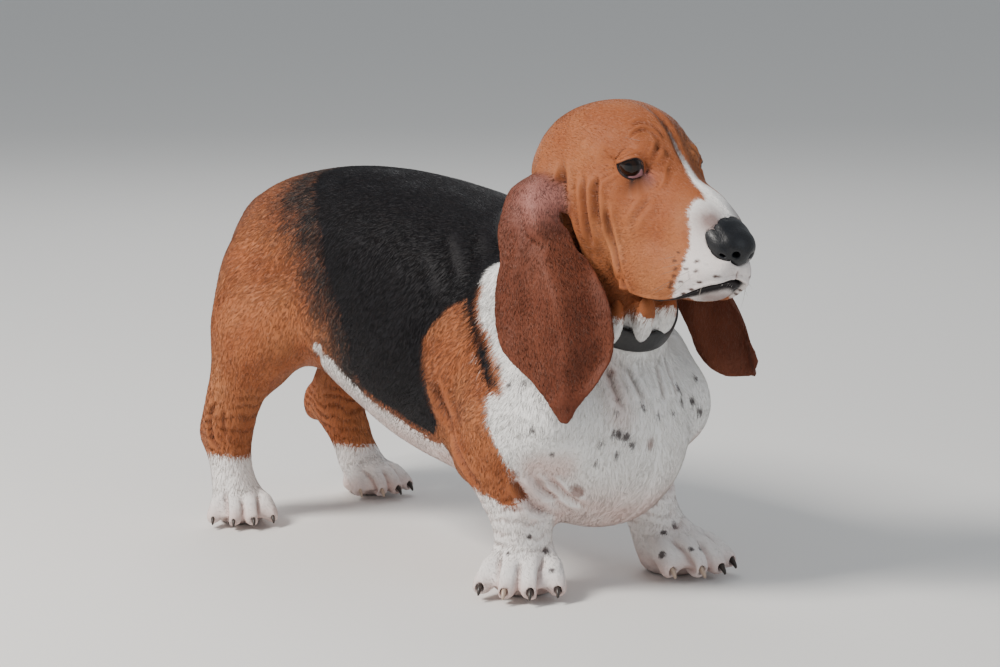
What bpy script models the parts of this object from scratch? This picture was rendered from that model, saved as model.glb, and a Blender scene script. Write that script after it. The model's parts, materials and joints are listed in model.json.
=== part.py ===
# A life-size standing basset hound, split into its named parts.
# Metres, +Z up, +X the way the dog faces, +Y its left side.
# The dog is laid out from the ground point midway between its forefeet,
# then moved so that the origin is the bottom centre of its box.

import math

import bmesh
import bpy
import numpy as np
from mathutils import Matrix, Vector

# Driving dimensions
LAYOUT_TO_ORIGIN = Vector((0.1990, 0.0032, 0.0))
GAP = 0.0003
SHARP_ANGLE = math.radians(50)
VOXEL = 0.0028
FLESH_TRIANGLES = 6500

# The head's own frame: midway between the eyes, turned a little to its right,
# tipped nose down and leaning to its left
EYE_LINE = Vector((0.095, 0.0, 0.3985))
HEAD_YAW = math.radians(-3.4)
HEAD_PITCH = math.radians(26)
HEAD_LEAN = math.radians(-6.5)
HEAD = (
    Matrix.Translation(EYE_LINE)
    @ Matrix.Rotation(HEAD_YAW, 4, "Z")
    @ Matrix.Rotation(HEAD_PITCH, 4, "Y")
    @ Matrix.Rotation(HEAD_LEAN, 4, "X")
)
EYE_RADIUS = 0.0135
LID = 0.0022
EYE_OPENING = Vector((0.0200, 0.0135, 0.0102))
EYE_TURN = 52
EYE_DROOP = 24
EYE_SEAT = Vector((-0.0225, 0.0335, 0.0015))
NOSE_SEAT = Vector((0.0960, 0.0, -0.0095))
NOSE_VOXEL = 0.0011
NOSE_TRIANGLES = 400

# Trunk, from the rump to the forechest: x, top, bottom, half width
TRUNK = [
    (-0.552, 0.262, 0.225, 0.015),
    (-0.542, 0.290, 0.190, 0.040),
    (-0.519, 0.326, 0.165, 0.063),
    (-0.480, 0.353, 0.160, 0.084),
    (-0.430, 0.368, 0.160, 0.094),
    (-0.370, 0.377, 0.155, 0.100),
    (-0.300, 0.378, 0.126, 0.109),
    (-0.230, 0.372, 0.099, 0.117),
    (-0.160, 0.361, 0.085, 0.120),
    (-0.090, 0.347, 0.069, 0.117),
    (-0.030, 0.316, 0.055, 0.105),
    (0.020, 0.268, 0.058, 0.084),
    (0.050, 0.215, 0.084, 0.056),
    (0.066, 0.175, 0.120, 0.022),
]

# Neck, from the withers to the skull: x, z, half depth, half width
NECK = [
    (-0.115, 0.200, 0.130, 0.098),
    (-0.065, 0.245, 0.120, 0.089),
    (-0.031, 0.290, 0.104, 0.075),
    (-0.014, 0.332, 0.089, 0.064),
    (-0.006, 0.368, 0.071, 0.056),
]

# Skull and cheeks in the head's frame: x, top, bottom, half width
SKULL = [
    (-0.156, -0.044, -0.085, 0.016),
    (-0.147, -0.014, -0.096, 0.037),
    (-0.127, 0.011, -0.102, 0.051),
    (-0.095, 0.033, -0.102, 0.058),
    (-0.057, 0.041, -0.098, 0.057),
    (-0.030, 0.036, -0.092, 0.049),
    (-0.008, 0.0250, -0.084, 0.039),
    (0.022, 0.0145, -0.072, 0.032),
]

# Foreface above the lips, in the head's frame
MUZZLE = [
    (-0.010, 0.0190, -0.060, 0.038),
    (0.020, 0.0145, -0.065, 0.033),
    (0.045, 0.0160, -0.065, 0.031),
    (0.075, 0.0115, -0.062, 0.029),
    (0.096, 0.0015, -0.056, 0.025),
    (0.112, -0.0120, -0.050, 0.017),
]

# Left flew in the head's frame: x, y, middle z, half height, half thickness
FLEW = [
    (0.000, 0.036, -0.066, 0.022, 0.009),
    (0.020, 0.036, -0.070, 0.031, 0.013),
    (0.045, 0.033, -0.068, 0.033, 0.016),
    (0.068, 0.030, -0.062, 0.032, 0.0165),
    (0.088, 0.026, -0.052, 0.027, 0.016),
    (0.104, 0.018, -0.042, 0.018, 0.015),
    (0.116, 0.009, -0.035, 0.012, 0.011),
]

# Lower jaw in the head's frame: x, top, bottom, half width
JAW = [
    (-0.020, -0.066, -0.102, 0.022),
    (0.020, -0.068, -0.106, 0.024),
    (0.055, -0.062, -0.094, 0.021),
    (0.085, -0.054, -0.080, 0.019),
    (0.102, -0.047, -0.069, 0.016),
    (0.111, -0.047, -0.061, 0.009),
]

# Left foreleg: x, y, z, half depth, half width
FORELEG = [
    (-0.045, 0.078, 0.225, 0.060, 0.036),
    (-0.035, 0.088, 0.180, 0.062, 0.042),
    (-0.040, 0.092, 0.138, 0.054, 0.038),
    (-0.034, 0.089, 0.105, 0.041, 0.033),
    (-0.024, 0.086, 0.075, 0.031, 0.029),
    (-0.018, 0.085, 0.048, 0.029, 0.028),
    (-0.014, 0.085, 0.026, 0.031, 0.030),
]

# Left hindleg, set from its paw: x, y, z, half depth, half width
HINDLEG = [
    (0.045, -0.045, 0.290, 0.066, 0.034),
    (0.031, -0.026, 0.240, 0.076, 0.043),
    (0.012, -0.012, 0.195, 0.064, 0.044),
    (-0.003, -0.002, 0.155, 0.038, 0.029),
    (-0.014, 0.001, 0.122, 0.035, 0.027),
    (-0.020, 0.001, 0.092, 0.031, 0.026),
    (-0.017, 0.001, 0.062, 0.025, 0.023),
    (-0.010, 0.000, 0.034, 0.026, 0.025),
]
HOCK = Vector((-0.047, 0.003, 0.094))
HEEL_BACK = 0.018

# Paws: ground place, the way the toes point, share of full size,
# how far the wrist stands inward or the hock back
PAWS = {
    "fore_right": {"at": (-0.019, -0.086), "turn": -49, "size": 1.0, "inward": 0.0},
    "fore_left": {"at": (0.017, 0.087), "turn": -6, "size": 1.0, "inward": 0.016},
    "hind_right": {"at": (-0.449, -0.097), "turn": -34, "size": 0.84, "hock_back": 0.0, "inward": 0.0},
    "hind_left": {"at": (-0.473, 0.099), "turn": -10, "size": 0.84, "hock_back": 0.042, "inward": 0.018},
}
TOES = [
    {"across": -0.0315, "ahead": 0.020, "radius": 0.0130},
    {"across": -0.0105, "ahead": 0.034, "radius": 0.0137},
    {"across": 0.0105, "ahead": 0.034, "radius": 0.0137},
    {"across": 0.0315, "ahead": 0.020, "radius": 0.0130},
]

# Tail, hanging behind the rump: x, z, radius
TAIL = [
    (-0.495, 0.325, 0.0200),
    (-0.526, 0.320, 0.0190),
    (-0.555, 0.299, 0.0170),
    (-0.573, 0.262, 0.0145),
    (-0.582, 0.215, 0.0125),
    (-0.582, 0.168, 0.0105),
    (-0.576, 0.127, 0.0080),
    (-0.570, 0.100, 0.0040),
]

# Ears: front and rear edges from the root to the tip
EAR_RIGHT = {
    "front": [
        (0.000, -0.034, 0.398),
        (0.010, -0.060, 0.380),
        (0.020, -0.067, 0.354),
        (0.036, -0.071, 0.330),
        (0.076, -0.076, 0.296),
        (0.090, -0.080, 0.258),
        (0.084, -0.088, 0.218),
        (0.060, -0.102, 0.176),
    ],
    "rear": [
        (-0.034, -0.034, 0.404),
        (-0.046, -0.078, 0.384),
        (-0.040, -0.100, 0.352),
        (-0.028, -0.114, 0.318),
        (-0.028, -0.120, 0.286),
        (-0.020, -0.123, 0.248),
        (0.022, -0.116, 0.214),
        (0.050, -0.104, 0.176),
    ],
    "bulge": 0.012,
}
EAR_LEFT = {
    "front": [
        (0.000, 0.034, 0.398),
        (0.010, 0.062, 0.380),
        (0.022, 0.075, 0.356),
        (0.038, 0.088, 0.320),
        (0.056, 0.110, 0.279),
        (0.072, 0.125, 0.247),
        (0.085, 0.134, 0.214),
        (0.063, 0.137, 0.194),
    ],
    "rear": [
        (-0.034, 0.034, 0.404),
        (-0.046, 0.078, 0.384),
        (-0.040, 0.100, 0.354),
        (-0.034, 0.104, 0.318),
        (-0.014, 0.102, 0.276),
        (0.006, 0.106, 0.240),
        (0.018, 0.115, 0.207),
        (0.043, 0.131, 0.192),
    ],
    "bulge": 0.012,
}
EAR_THICKNESS = 0.0042

# Collar: a strap round the neck
COLLAR_CENTRE = Vector((-0.025, 0.0, 0.303))
COLLAR_TILT = math.radians(34)
COLLAR_HALF_DEPTH = 0.106
COLLAR_HALF_WIDTH = 0.075
COLLAR_STRAP = 0.025
COLLAR_THICKNESS = 0.004


# Where the flesh is parted: outlines in XZ for the first three, in YZ for the legs
TAIL_CUT = [(-0.70, 0.02), (-0.5635, 0.02), (-0.5635, 0.285), (-0.518, 0.360), (-0.70, 0.36)]
HEAD_CUT = [(-0.115, 0.440), (0.045, 0.290), (0.30, 0.20), (0.30, 0.60), (-0.16, 0.60)]
NECK_CUT = [(-0.165, 0.360), (0.090, 0.178), (0.20, 0.16), (0.30, 0.60), (-0.165, 0.60)]
FORELEG_CUT = [(0.026, -0.02), (0.060, 0.090), (0.068, 0.165), (0.25, 0.185), (0.25, -0.02)]
HINDLEG_CUT = [(0.030, -0.02), (0.058, 0.120), (0.052, 0.235), (0.25, 0.275), (0.25, -0.02)]


def clear_scene():
    for obj in list(bpy.data.objects):
        bpy.data.objects.remove(obj, do_unlink=True)


def material(name, colour, roughness, metallic=0.0):
    made = bpy.data.materials.get(name)
    if made is None:
        made = bpy.data.materials.new(name)
        made.use_nodes = True
        shader = made.node_tree.nodes["Principled BSDF"]
        shader.inputs["Base Color"].default_value = (*colour, 1.0)
        shader.inputs["Roughness"].default_value = roughness
        shader.inputs["Metallic"].default_value = metallic
    return made


def mesh_object(name, points, faces):
    mesh = bpy.data.meshes.new(name)
    mesh.from_pydata([tuple(p) for p in points], [], faces)
    obj = bpy.data.objects.new(name, mesh)
    bpy.context.scene.collection.objects.link(obj)
    return obj


# Rows of numbers made denser along a Catmull-Rom curve
def smooth_rows(rows, steps):
    rows = np.array(rows, float)
    ends = np.vstack([2 * rows[0] - rows[1], rows, 2 * rows[-1] - rows[-2]])
    out = []
    for i in range(1, len(ends) - 2):
        a, b, c, d = ends[i - 1 : i + 3]
        for t in np.arange(steps) / steps:
            out.append(
                0.5
                * (
                    2 * b
                    + (c - a) * t
                    + (2 * a - 5 * b + 4 * c - d) * t * t
                    + (3 * b - a - 3 * c + d) * t**3
                )
            )
    out.append(rows[-1])
    return np.array(out)


# A ring in the plane of two axes, its corners squared off by power
def ring(centre, side, up, half_width, rise, drop, power=2.2, count=28):
    points = []
    for a in np.arange(count) * (2 * math.pi / count):
        c, s = math.cos(a), math.sin(a)
        across = math.copysign(abs(c) ** (2 / power), c) * half_width
        along = math.copysign(abs(s) ** (2 / power), s) * (rise if s > 0 else drop)
        points.append(Vector(centre) + Vector(side) * across + Vector(up) * along)
    return points


# A closed skin over rings of equal count, with a fan at each end
def loft(name, rings):
    count = len(rings[0])
    points = [p for r in rings for p in r]
    faces = []
    for i in range(len(rings) - 1):
        for j in range(count):
            k = (j + 1) % count
            faces.append(
                (i * count + j, i * count + k, (i + 1) * count + k, (i + 1) * count + j)
            )
    for first, order in ((0, -1), ((len(rings) - 1) * count, 1)):
        middle = sum((points[first + j] for j in range(count)), Vector()) / count
        points.append(middle)
        for j in range(count):
            k = (j + 1) % count
            pair = (first + j, first + k) if order > 0 else (first + k, first + j)
            faces.append((*pair, len(points) - 1))
    obj = mesh_object(name, points, faces)
    face_out(obj)
    return obj


def face_out(obj):
    shape = bmesh.new()
    shape.from_mesh(obj.data)
    bmesh.ops.recalc_face_normals(shape, faces=shape.faces)
    if shape.calc_volume(signed=True) < 0:
        bmesh.ops.reverse_faces(shape, faces=shape.faces)
    shape.to_mesh(obj.data)
    shape.free()


# Rows of x, top, bottom and half width lofted along x
def loft_along_x(name, rows, frame=Matrix.Identity(4), power=2.2, steps=4):
    rings = []
    for x, top, bottom, half in smooth_rows(rows, steps):
        middle = (top + bottom) / 2
        rise = max(top - middle, 0.001)
        r = ring((x, 0, middle), (0, 1, 0), (0, 0, 1), max(half, 0.001), rise, rise, power)
        rings.append([frame @ p for p in r])
    return loft(name, rings)


# Rows of x, y, z, half depth and half width lofted along their own path
def limb(name, rows, power=2.1, steps=4, count=24):
    rows = smooth_rows(rows, steps)
    centres = [Vector(r[:3]) for r in rows]
    rings = []
    for i, row in enumerate(rows):
        ahead = centres[min(i + 1, len(rows) - 1)] - centres[max(i - 1, 0)]
        ahead.normalize()
        side = Vector((0, 1, 0)) - ahead * ahead.y
        side.normalize()
        front = side.cross(ahead)
        rings.append(ring(centres[i], side, front, row[4], row[3], row[3], power, count))
    return loft(name, rings)


def spheroid(name, centre, radii, turn=(0, 0, 0), frame=Matrix.Identity(4), fine=3):
    shape = bmesh.new()
    bmesh.ops.create_icosphere(shape, subdivisions=fine, radius=1)
    turned = Matrix.Rotation(math.radians(turn[2]), 4, "Z")
    turned = turned @ Matrix.Rotation(math.radians(turn[1]), 4, "Y")
    turned = turned @ Matrix.Rotation(math.radians(turn[0]), 4, "X")
    place = frame @ Matrix.Translation(centre) @ turned @ Matrix.Diagonal((*radii, 1))
    bmesh.ops.transform(shape, matrix=place, verts=shape.verts)
    mesh = bpy.data.meshes.new(name)
    shape.to_mesh(mesh)
    shape.free()
    obj = bpy.data.objects.new(name, mesh)
    bpy.context.scene.collection.objects.link(obj)
    return obj


def sides():
    return (("left", 1), ("right", -1))


def trunk_forms():
    forms = [loft_along_x("trunk", TRUNK, power=2.25)]
    forms.append(spheroid("forechest", (0.020, 0, 0.150), (0.058, 0.080, 0.085)))
    forms.append(spheroid("croup", (-0.450, 0, 0.296), (0.070, 0.074, 0.052)))
    rows = [(x, 0.0, z, depth, half) for x, z, depth, half in NECK]
    forms.append(limb("nape", rows, power=2.1, count=28))
    forms.append(spheroid("dewlap", (0.046, 0, 0.268), (0.024, 0.022, 0.036), (0, 20, 0)))
    forms.append(spheroid("scruff", (-0.070, 0, 0.342), (0.052, 0.050, 0.036), (0, 24, 0)))
    forms.append(spheroid("sheath", (-0.306, 0, 0.117), (0.044, 0.013, 0.014), (0, 10, 0)))
    for _, s in sides():
        forms.append(
            spheroid("blade", (-0.072, s * 0.070, 0.225), (0.060, 0.036, 0.105), (s * -10, 28, 0))
        )
        forms.append(
            spheroid("point", (0.005, s * 0.080, 0.172), (0.048, 0.042, 0.052), (0, -35, 0))
        )
    return forms


# How far the lower leg moves to stand over the heel of its paw
def heel_shift(paw, ankle):
    turn = math.radians(paw["turn"])
    x = paw["at"][0] - HEEL_BACK * math.cos(turn)
    y = abs(paw["at"][1] - HEEL_BACK * math.sin(turn))
    return x - ankle[0], y - ankle[1]


def foreleg_forms():
    forms = []
    for name, s in sides():
        paw = PAWS["fore_" + name]
        shift = heel_shift(paw, FORELEG[-1])
        rows = []
        for x, y, z, depth, half in FORELEG:
            near = max(0.0, 1 - z / 0.10)
            inward = paw["inward"] * max(0.0, 1 - abs(z - 0.100) / 0.080)
            across = s * (y + shift[1] * near - inward)
            rows.append((x + shift[0] * near, across, z, depth, half))
        forms.append(limb("foreleg", rows))
        elbow = (-0.080, s * (0.096 - paw["inward"]), 0.128)
        forms.append(spheroid("elbow", elbow, (0.028, 0.022, 0.034)))
    return forms


def hindleg_forms():
    forms = []
    for name, s in sides():
        paw = PAWS["hind_" + name]
        paw_x, paw_y = paw["at"]
        level = -0.449 - paw_x
        rows = []
        for x, y, z, depth, half in HINDLEG:
            forward = level * min(1.0, z / 0.29)
            bent = max(0.0, 1 - abs(z - 0.11) / 0.13) ** 2
            across = s * (abs(paw_y) + y - paw["inward"] * bent)
            rows.append((paw_x + x + forward - paw["hock_back"] * bent, across, z, depth, half))
        forms.append(limb("hindleg", rows))
        forward = level * HOCK.z / 0.29 - paw["hock_back"]
        at = (paw_x + HOCK.x + forward, s * (abs(paw_y) + HOCK.y - paw["inward"]), HOCK.z)
        forms.append(spheroid("hock", at, (0.019, 0.016, 0.030), (0, 12, 0)))
        ham = (paw_x + level + 0.005, s * 0.072, 0.226)
        forms.append(spheroid("ham", ham, (0.062, 0.041, 0.094)))
    return forms


def paw_frame(paw):
    place = Matrix.Translation((*paw["at"], 0))
    turned = Matrix.Rotation(math.radians(paw["turn"]), 4, "Z")
    return place @ turned @ Matrix.Scale(paw["size"], 4)


def toe_rows(toe):
    fan = toe["across"] * 0.16
    r = toe["radius"]
    return [
        (toe["ahead"] - 0.040, toe["across"] * 0.55, 0.026, r * 0.9, r * 0.8),
        (toe["ahead"] - 0.018, toe["across"] * 0.86, 0.029, r * 1.05, r * 0.9),
        (toe["ahead"] - 0.002, toe["across"], 0.022, r * 1.05, r * 0.92),
        (toe["ahead"] + 0.011, toe["across"] + fan, 0.0125, r * 0.86, r * 0.82),
        (toe["ahead"] + 0.017, toe["across"] + fan, 0.0085, r * 0.45, r * 0.5),
    ]


def paw_forms():
    forms = []
    for paw in PAWS.values():
        frame = paw_frame(paw)
        forms.append(spheroid("palm", (-0.010, 0, 0.014), (0.036, 0.036, 0.020), frame=frame))
        forms.append(spheroid("cuff", (-0.014, 0, 0.030), (0.030, 0.031, 0.026), frame=frame))
        for toe in TOES:
            obj = limb("toe", toe_rows(toe), count=14)
            obj.data.transform(frame)
            forms.append(obj)
    return forms


def tail_forms():
    rows = [(x, 0.0, z, r, r) for x, z, r in TAIL]
    return [limb("tail", rows, count=16)]


def flew_rings(side):
    rings = []
    for x, y, z, high, thick in smooth_rows(FLEW, 4):
        lean = Vector((0, -side * 0.10, 1)).normalized()
        r = ring((x, side * y, z), (0, 1, 0), lean, thick, high, high, 2.3, 20)
        rings.append([HEAD @ p for p in r])
    return rings


def head_forms():
    forms = [
        loft_along_x("skull", SKULL, HEAD, 2.3),
        loft_along_x("foreface", MUZZLE, HEAD, 2.6),
    ]
    forms.append(spheroid("crest", (-0.130, 0, -0.020), (0.026, 0.018, 0.018), (0, -40, 0), HEAD))
    for _, s in sides():
        forms.append(loft("flew", flew_rings(s)))
        forms.append(
            spheroid("brow", (-0.024, s * 0.0275, 0.0165), (0.030, 0.0165, 0.0110), (s * -20, 8, 0), HEAD)
        )
        forms.append(
            spheroid("cheek", (-0.045, s * 0.040, -0.050), (0.050, 0.021, 0.046), (0, 12, 0), HEAD)
        )
        forms.append(
            spheroid("earset", (-0.095, s * 0.051, -0.062), (0.030, 0.014, 0.024), (0, 30, 0), HEAD)
        )
        forms.append(
            spheroid("jowl", (0.006, s * 0.034, -0.052), (0.036, 0.0155, 0.042), (0, 20, 0), HEAD)
        )
        forms.append(
            spheroid("side", (0.045, s * 0.0265, -0.032), (0.050, 0.0135, 0.032), (0, 10, 0), HEAD)
        )
        seat = (EYE_SEAT.x, s * EYE_SEAT.y, EYE_SEAT.z)
        forms.append(spheroid("lids", seat, (EYE_RADIUS + LID,) * 3, frame=HEAD))
    return forms


def join_objects(objects, name):
    with bpy.context.temp_override(
        active_object=objects[0], selected_editable_objects=objects
    ):
        bpy.ops.object.join()
    objects[0].name = name
    return objects[0]


# The evaluated mesh takes the place of the object's own, without modifiers
def apply_modifiers(obj):
    graph = bpy.context.evaluated_depsgraph_get()
    graph.update()
    mesh = bpy.data.meshes.new_from_object(obj.evaluated_get(graph))
    obj.modifiers.clear()
    old = obj.data
    obj.data = mesh
    bpy.data.meshes.remove(old)
    return obj


def coordinates(obj):
    co = np.empty(len(obj.data.vertices) * 3, np.float32)
    obj.data.vertices.foreach_get("co", co)
    return co.reshape(-1, 3).astype(float)


def set_coordinates(obj, points):
    obj.data.vertices.foreach_set("co", points.astype(np.float32).ravel())
    obj.data.update()


# How near each point is to a place, 1 at its middle and 0 past its reach
def nearness(points, centre, reach, frame=Matrix.Identity(4)):
    back = np.array(frame.inverted())
    local = points @ back[:3, :3].T + back[:3, 3]
    far = np.linalg.norm((local - np.array(centre)) / np.array(reach), axis=1)
    t = np.clip(1 - far, 0, 1)
    return t * t * (3 - 2 * t)


def remesh(obj, voxel):
    modifier = obj.modifiers.new("skin", "REMESH")
    modifier.mode = "VOXEL"
    modifier.voxel_size = voxel
    modifier.adaptivity = 0
    return apply_modifiers(obj)


def smooth(obj, times, group=""):
    modifier = obj.modifiers.new("smooth", "SMOOTH")
    modifier.factor = 0.5
    modifier.iterations = times
    modifier.vertex_group = group
    return apply_modifiers(obj)


def set_group(obj, name, weights):
    group = obj.vertex_groups.new(name=name)
    for level in range(1, 11):
        chosen = np.nonzero(np.round(weights * 10) == level)[0]
        if len(chosen):
            group.add(chosen.tolist(), level / 10, "REPLACE")


def detail_weight(points):
    head = nearness(points, (0.0, 0, -0.030), (0.26, 0.20, 0.20), HEAD)
    detail = np.minimum(1, head * 3)
    for paw in PAWS.values():
        near = nearness(points, (*paw["at"], 0.0), (0.12, 0.12, 0.07))
        detail = np.maximum(detail, np.minimum(1, near * 3))
    return detail


# Soft hollows and swellings pressed into the fused flesh
def sculpt(obj):
    points = coordinates(obj)
    strokes = []
    for _, s in sides():
        strokes.append(((0.012, s * 0.034, -0.020), (0.026, 0.016, 0.022), (0.0, -s * 0.0035, 0.0), HEAD))
        strokes.append(((-0.030, s * 0.060, 0.004), (0.034, 0.030, 0.020), (0.0, -s * 0.004, 0.0), HEAD))
    strokes.append(((-0.035, 0, 0.036), (0.060, 0.010, 0.020), (0.0, 0.0, -0.0022), HEAD))
    for centre, reach, push, frame in strokes:
        turned = frame.to_3x3() @ Vector(push)
        points += nearness(points, centre, reach, frame)[:, None] * np.array(turned)
    set_coordinates(obj, points)


def whole_flesh():
    forms = trunk_forms() + foreleg_forms() + hindleg_forms()
    forms += paw_forms() + tail_forms() + head_forms()
    flesh = remesh(join_objects(forms, "flesh"), VOXEL)
    detail = detail_weight(coordinates(flesh))
    set_group(flesh, "broad", 1 - detail)
    smooth(flesh, 110, "broad")
    smooth(flesh, 8)
    sculpt(flesh)
    return flesh


def decimate(obj, triangles):
    modifier = obj.modifiers.new("fewer", "DECIMATE")
    count = sum(len(p.vertices) - 2 for p in obj.data.polygons)
    modifier.ratio = min(1.0, triangles / count)
    return apply_modifiers(obj)


def boolean(obj, other, operation):
    modifier = obj.modifiers.new(operation, "BOOLEAN")
    modifier.operation = operation
    modifier.object = other
    modifier.solver = "EXACT"
    apply_modifiers(obj)
    bpy.data.objects.remove(other, do_unlink=True)
    return obj


def copy_of(obj, name):
    made = obj.copy()
    made.data = obj.data.copy()
    made.name = name
    bpy.context.scene.collection.objects.link(made)
    return made


# A copy grown outwards along its normals, for cutting a neighbour clear of it
def grown(obj, by=GAP):
    made = copy_of(obj, obj.name + "_grown")
    normals = np.empty(len(made.data.vertices) * 3, np.float32)
    made.data.vertices.foreach_get("normal", normals)
    set_coordinates(made, coordinates(made) + normals.reshape(-1, 3) * by)
    return made


def largest_only(obj):
    shape = bmesh.new()
    shape.from_mesh(obj.data)
    seen = set()
    shells = []
    for start in shape.verts:
        if start in seen:
            continue
        shell = {start}
        queue = [start]
        while queue:
            for edge in queue.pop().link_edges:
                for vert in edge.verts:
                    if vert not in shell:
                        shell.add(vert)
                        queue.append(vert)
        seen |= shell
        shells.append(shell)
    if len(shells) > 1:
        largest = max(shells, key=len)
        scraps = [v for v in shape.verts if v not in largest]
        bmesh.ops.delete(shape, geom=scraps, context="VERTS")
    bmesh.ops.dissolve_degenerate(shape, dist=0.00002, edges=shape.edges)
    bmesh.ops.triangulate(shape, faces=shape.faces)
    shape.to_mesh(obj.data)
    shape.free()
    return obj


# A convex outline made into a prism, and grown by an even margin
def prism(name, outline, plane, low, high, grow=0.0):
    count = len(outline)
    flat = [Vector(p) for p in outline]
    area = sum(a.cross(b) for a, b in zip(flat, flat[1:] + flat[:1]))
    if area < 0:
        flat.reverse()
    moved = []
    for i in range(count):
        before = (flat[i] - flat[i - 1]).normalized()
        after = (flat[(i + 1) % count] - flat[i]).normalized()
        out_before = Vector((before.y, -before.x))
        out_after = Vector((after.y, -after.x))
        bisector = (out_before + out_after).normalized()
        moved.append(flat[i] + bisector * (grow / max(0.3, bisector.dot(out_before))))
    points = []
    for level in (low - grow, high + grow):
        for p in moved:
            points.append((level, p.x, p.y) if plane == "YZ" else (p.x, level, p.y))
    faces = [tuple(range(count)), tuple(range(2 * count - 1, count - 1, -1))]
    for j in range(count):
        k = (j + 1) % count
        faces.append((j, j + count, k + count, k))
    obj = mesh_object(name, points, faces)
    face_out(obj)
    return obj


# Regions that part the flesh: outline, its plane, and its reach across that plane
def regions():
    found = {
        "tail": (TAIL_CUT, "XZ", -0.04, 0.04),
        "head": (HEAD_CUT, "XZ", -0.2, 0.2),
        "neck": (NECK_CUT, "XZ", -0.2, 0.2),
    }
    for name, s in sides():
        fore = [(s * y, z) for y, z in FORELEG_CUT]
        hind = [(s * y, z) for y, z in HINDLEG_CUT]
        found["foreleg_" + name] = (fore, "YZ", -0.130, 0.12)
        found["hindleg_" + name] = (hind, "YZ", -0.66, -0.328)
    return found


def part_flesh(flesh):
    nodes = {}
    floor = prism("floor", [(-1, -0.2), (1, -0.2), (1, 0), (-1, 0)], "XZ", -0.5, 0.5)
    boolean(flesh, floor, "DIFFERENCE")
    for name, (outline, plane, low, high) in regions().items():
        piece = copy_of(flesh, name)
        boolean(piece, prism("region", outline, plane, low, high), "INTERSECT")
        nodes[name] = largest_only(piece)
        boolean(flesh, prism("region", outline, plane, low, high, GAP), "DIFFERENCE")
    flesh.name = "torso"
    nodes["torso"] = largest_only(flesh)
    return nodes


# A leaf between a front and a rear edge, bulging outwards, with a rounded rim
def ear(name, shape, outward):
    front = smooth_rows(shape["front"], 3)
    rear = smooth_rows(shape["rear"], 3)
    columns = 9
    points = []
    for i, (f, r) in enumerate(zip(front, rear)):
        along = i / (len(front) - 1)
        cup = 1 + 0.5 * max(0.0, 1 - along / 0.4)
        lift = shape["bulge"] * cup * math.sin(math.pi * min(1, along * 1.1 + 0.08))
        across = r - f
        ahead = front[min(i + 1, len(front) - 1)] - front[max(i - 1, 0)]
        normal = np.cross(across, ahead)
        normal /= np.linalg.norm(normal)
        normal *= outward * np.sign(normal[1] or 1)
        for j in range(columns):
            t = j / (columns - 1)
            points.append(f + across * t + normal * lift * math.sin(math.pi * t))
    faces = []
    for i in range(len(front) - 1):
        for j in range(columns - 1):
            a = i * columns + j
            faces.append((a, a + 1, a + columns + 1, a + columns))
    obj = mesh_object(name, points, faces)
    solid = obj.modifiers.new("leather", "SOLIDIFY")
    solid.thickness = EAR_THICKNESS
    solid.offset = 0
    solid.use_even_offset = True
    apply_modifiers(obj)
    face_out(obj)
    return obj


def eye(name, side):
    seat = Vector((EYE_SEAT.x, side * EYE_SEAT.y, EYE_SEAT.z))
    obj = spheroid(name, seat, (EYE_RADIUS,) * 3, frame=HEAD, fine=3)
    obj.data.materials.append(material("eye", (0.02, 0.012, 0.01), 0.08))
    return obj


# The almond opening between the lids
def lid_opening(side):
    away = Matrix.Rotation(math.radians(side * EYE_TURN), 4, "Z")
    away = away @ Matrix.Rotation(math.radians(-side * EYE_DROOP), 4, "X")
    seat = Vector((EYE_SEAT.x, side * EYE_SEAT.y, EYE_SEAT.z))
    frame = HEAD @ Matrix.Translation(seat) @ away
    return spheroid("opening", (0.009, 0, 0.0005), EYE_OPENING, (0, 0, 0), frame, 3)


# Nose leather: a flat-topped pad and its two wings, then its nostrils and middle groove
def nose_pad():
    x, _, z = NOSE_SEAT
    forms = [
        spheroid("pad", (x, 0, z), (0.0185, 0.0205, 0.0150), (0, 12, 0), HEAD),
        spheroid("top", (x - 0.007, 0, z + 0.0055), (0.0200, 0.0195, 0.0105), (0, 18, 0), HEAD),
        spheroid("front", (x + 0.010, 0, z - 0.004), (0.0085, 0.0125, 0.0125), (0, 8, 0), HEAD),
    ]
    for _, s in sides():
        wing = (x - 0.006, s * 0.0145, z - 0.0030)
        forms.append(spheroid("wing", wing, (0.0200, 0.0100, 0.0110), (0, 16, s * -6), HEAD))
    obj = remesh(join_objects(forms, "nose"), NOSE_VOXEL)
    smooth(obj, 3)
    return decimate(obj, NOSE_TRIANGLES)


def cut_nostrils(obj):
    x, _, z = NOSE_SEAT
    middle = (x + 0.0200, 0, z - 0.0080)
    cutters = [spheroid("groove", middle, (0.0030, 0.0007, 0.0110), frame=HEAD, fine=2)]
    for _, s in sides():
        well = (x + 0.0150, s * 0.0092, z - 0.0030)
        slit = (x + 0.0085, s * 0.0180, z - 0.0075)
        cutters.append(spheroid("well", well, (0.0090, 0.0040, 0.0034), (0, 10, s * 34), HEAD, 2))
        cutters.append(spheroid("slit", slit, (0.0105, 0.0042, 0.0013), (0, 12, s * 50), HEAD, 2))
    for cutter in cutters:
        boolean(obj, cutter, "DIFFERENCE")
    obj.data.materials.append(material("nose", (0.015, 0.015, 0.018), 0.3))
    return largest_only(obj)


def lower_jaw():
    obj = loft_along_x("lower_jaw", JAW, HEAD, 2.4, 2)
    return obj


def claw_rows(toe):
    x = toe["ahead"]
    y = toe["across"] * 1.17
    return [
        (x + 0.007, y, 0.0150, 0.0044, 0.0036),
        (x + 0.0145, y, 0.0140, 0.0044, 0.0035),
        (x + 0.0205, y * 1.02, 0.0095, 0.0036, 0.0027),
        (x + 0.0235, y * 1.03, 0.0040, 0.0018, 0.0014),
    ]


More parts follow.
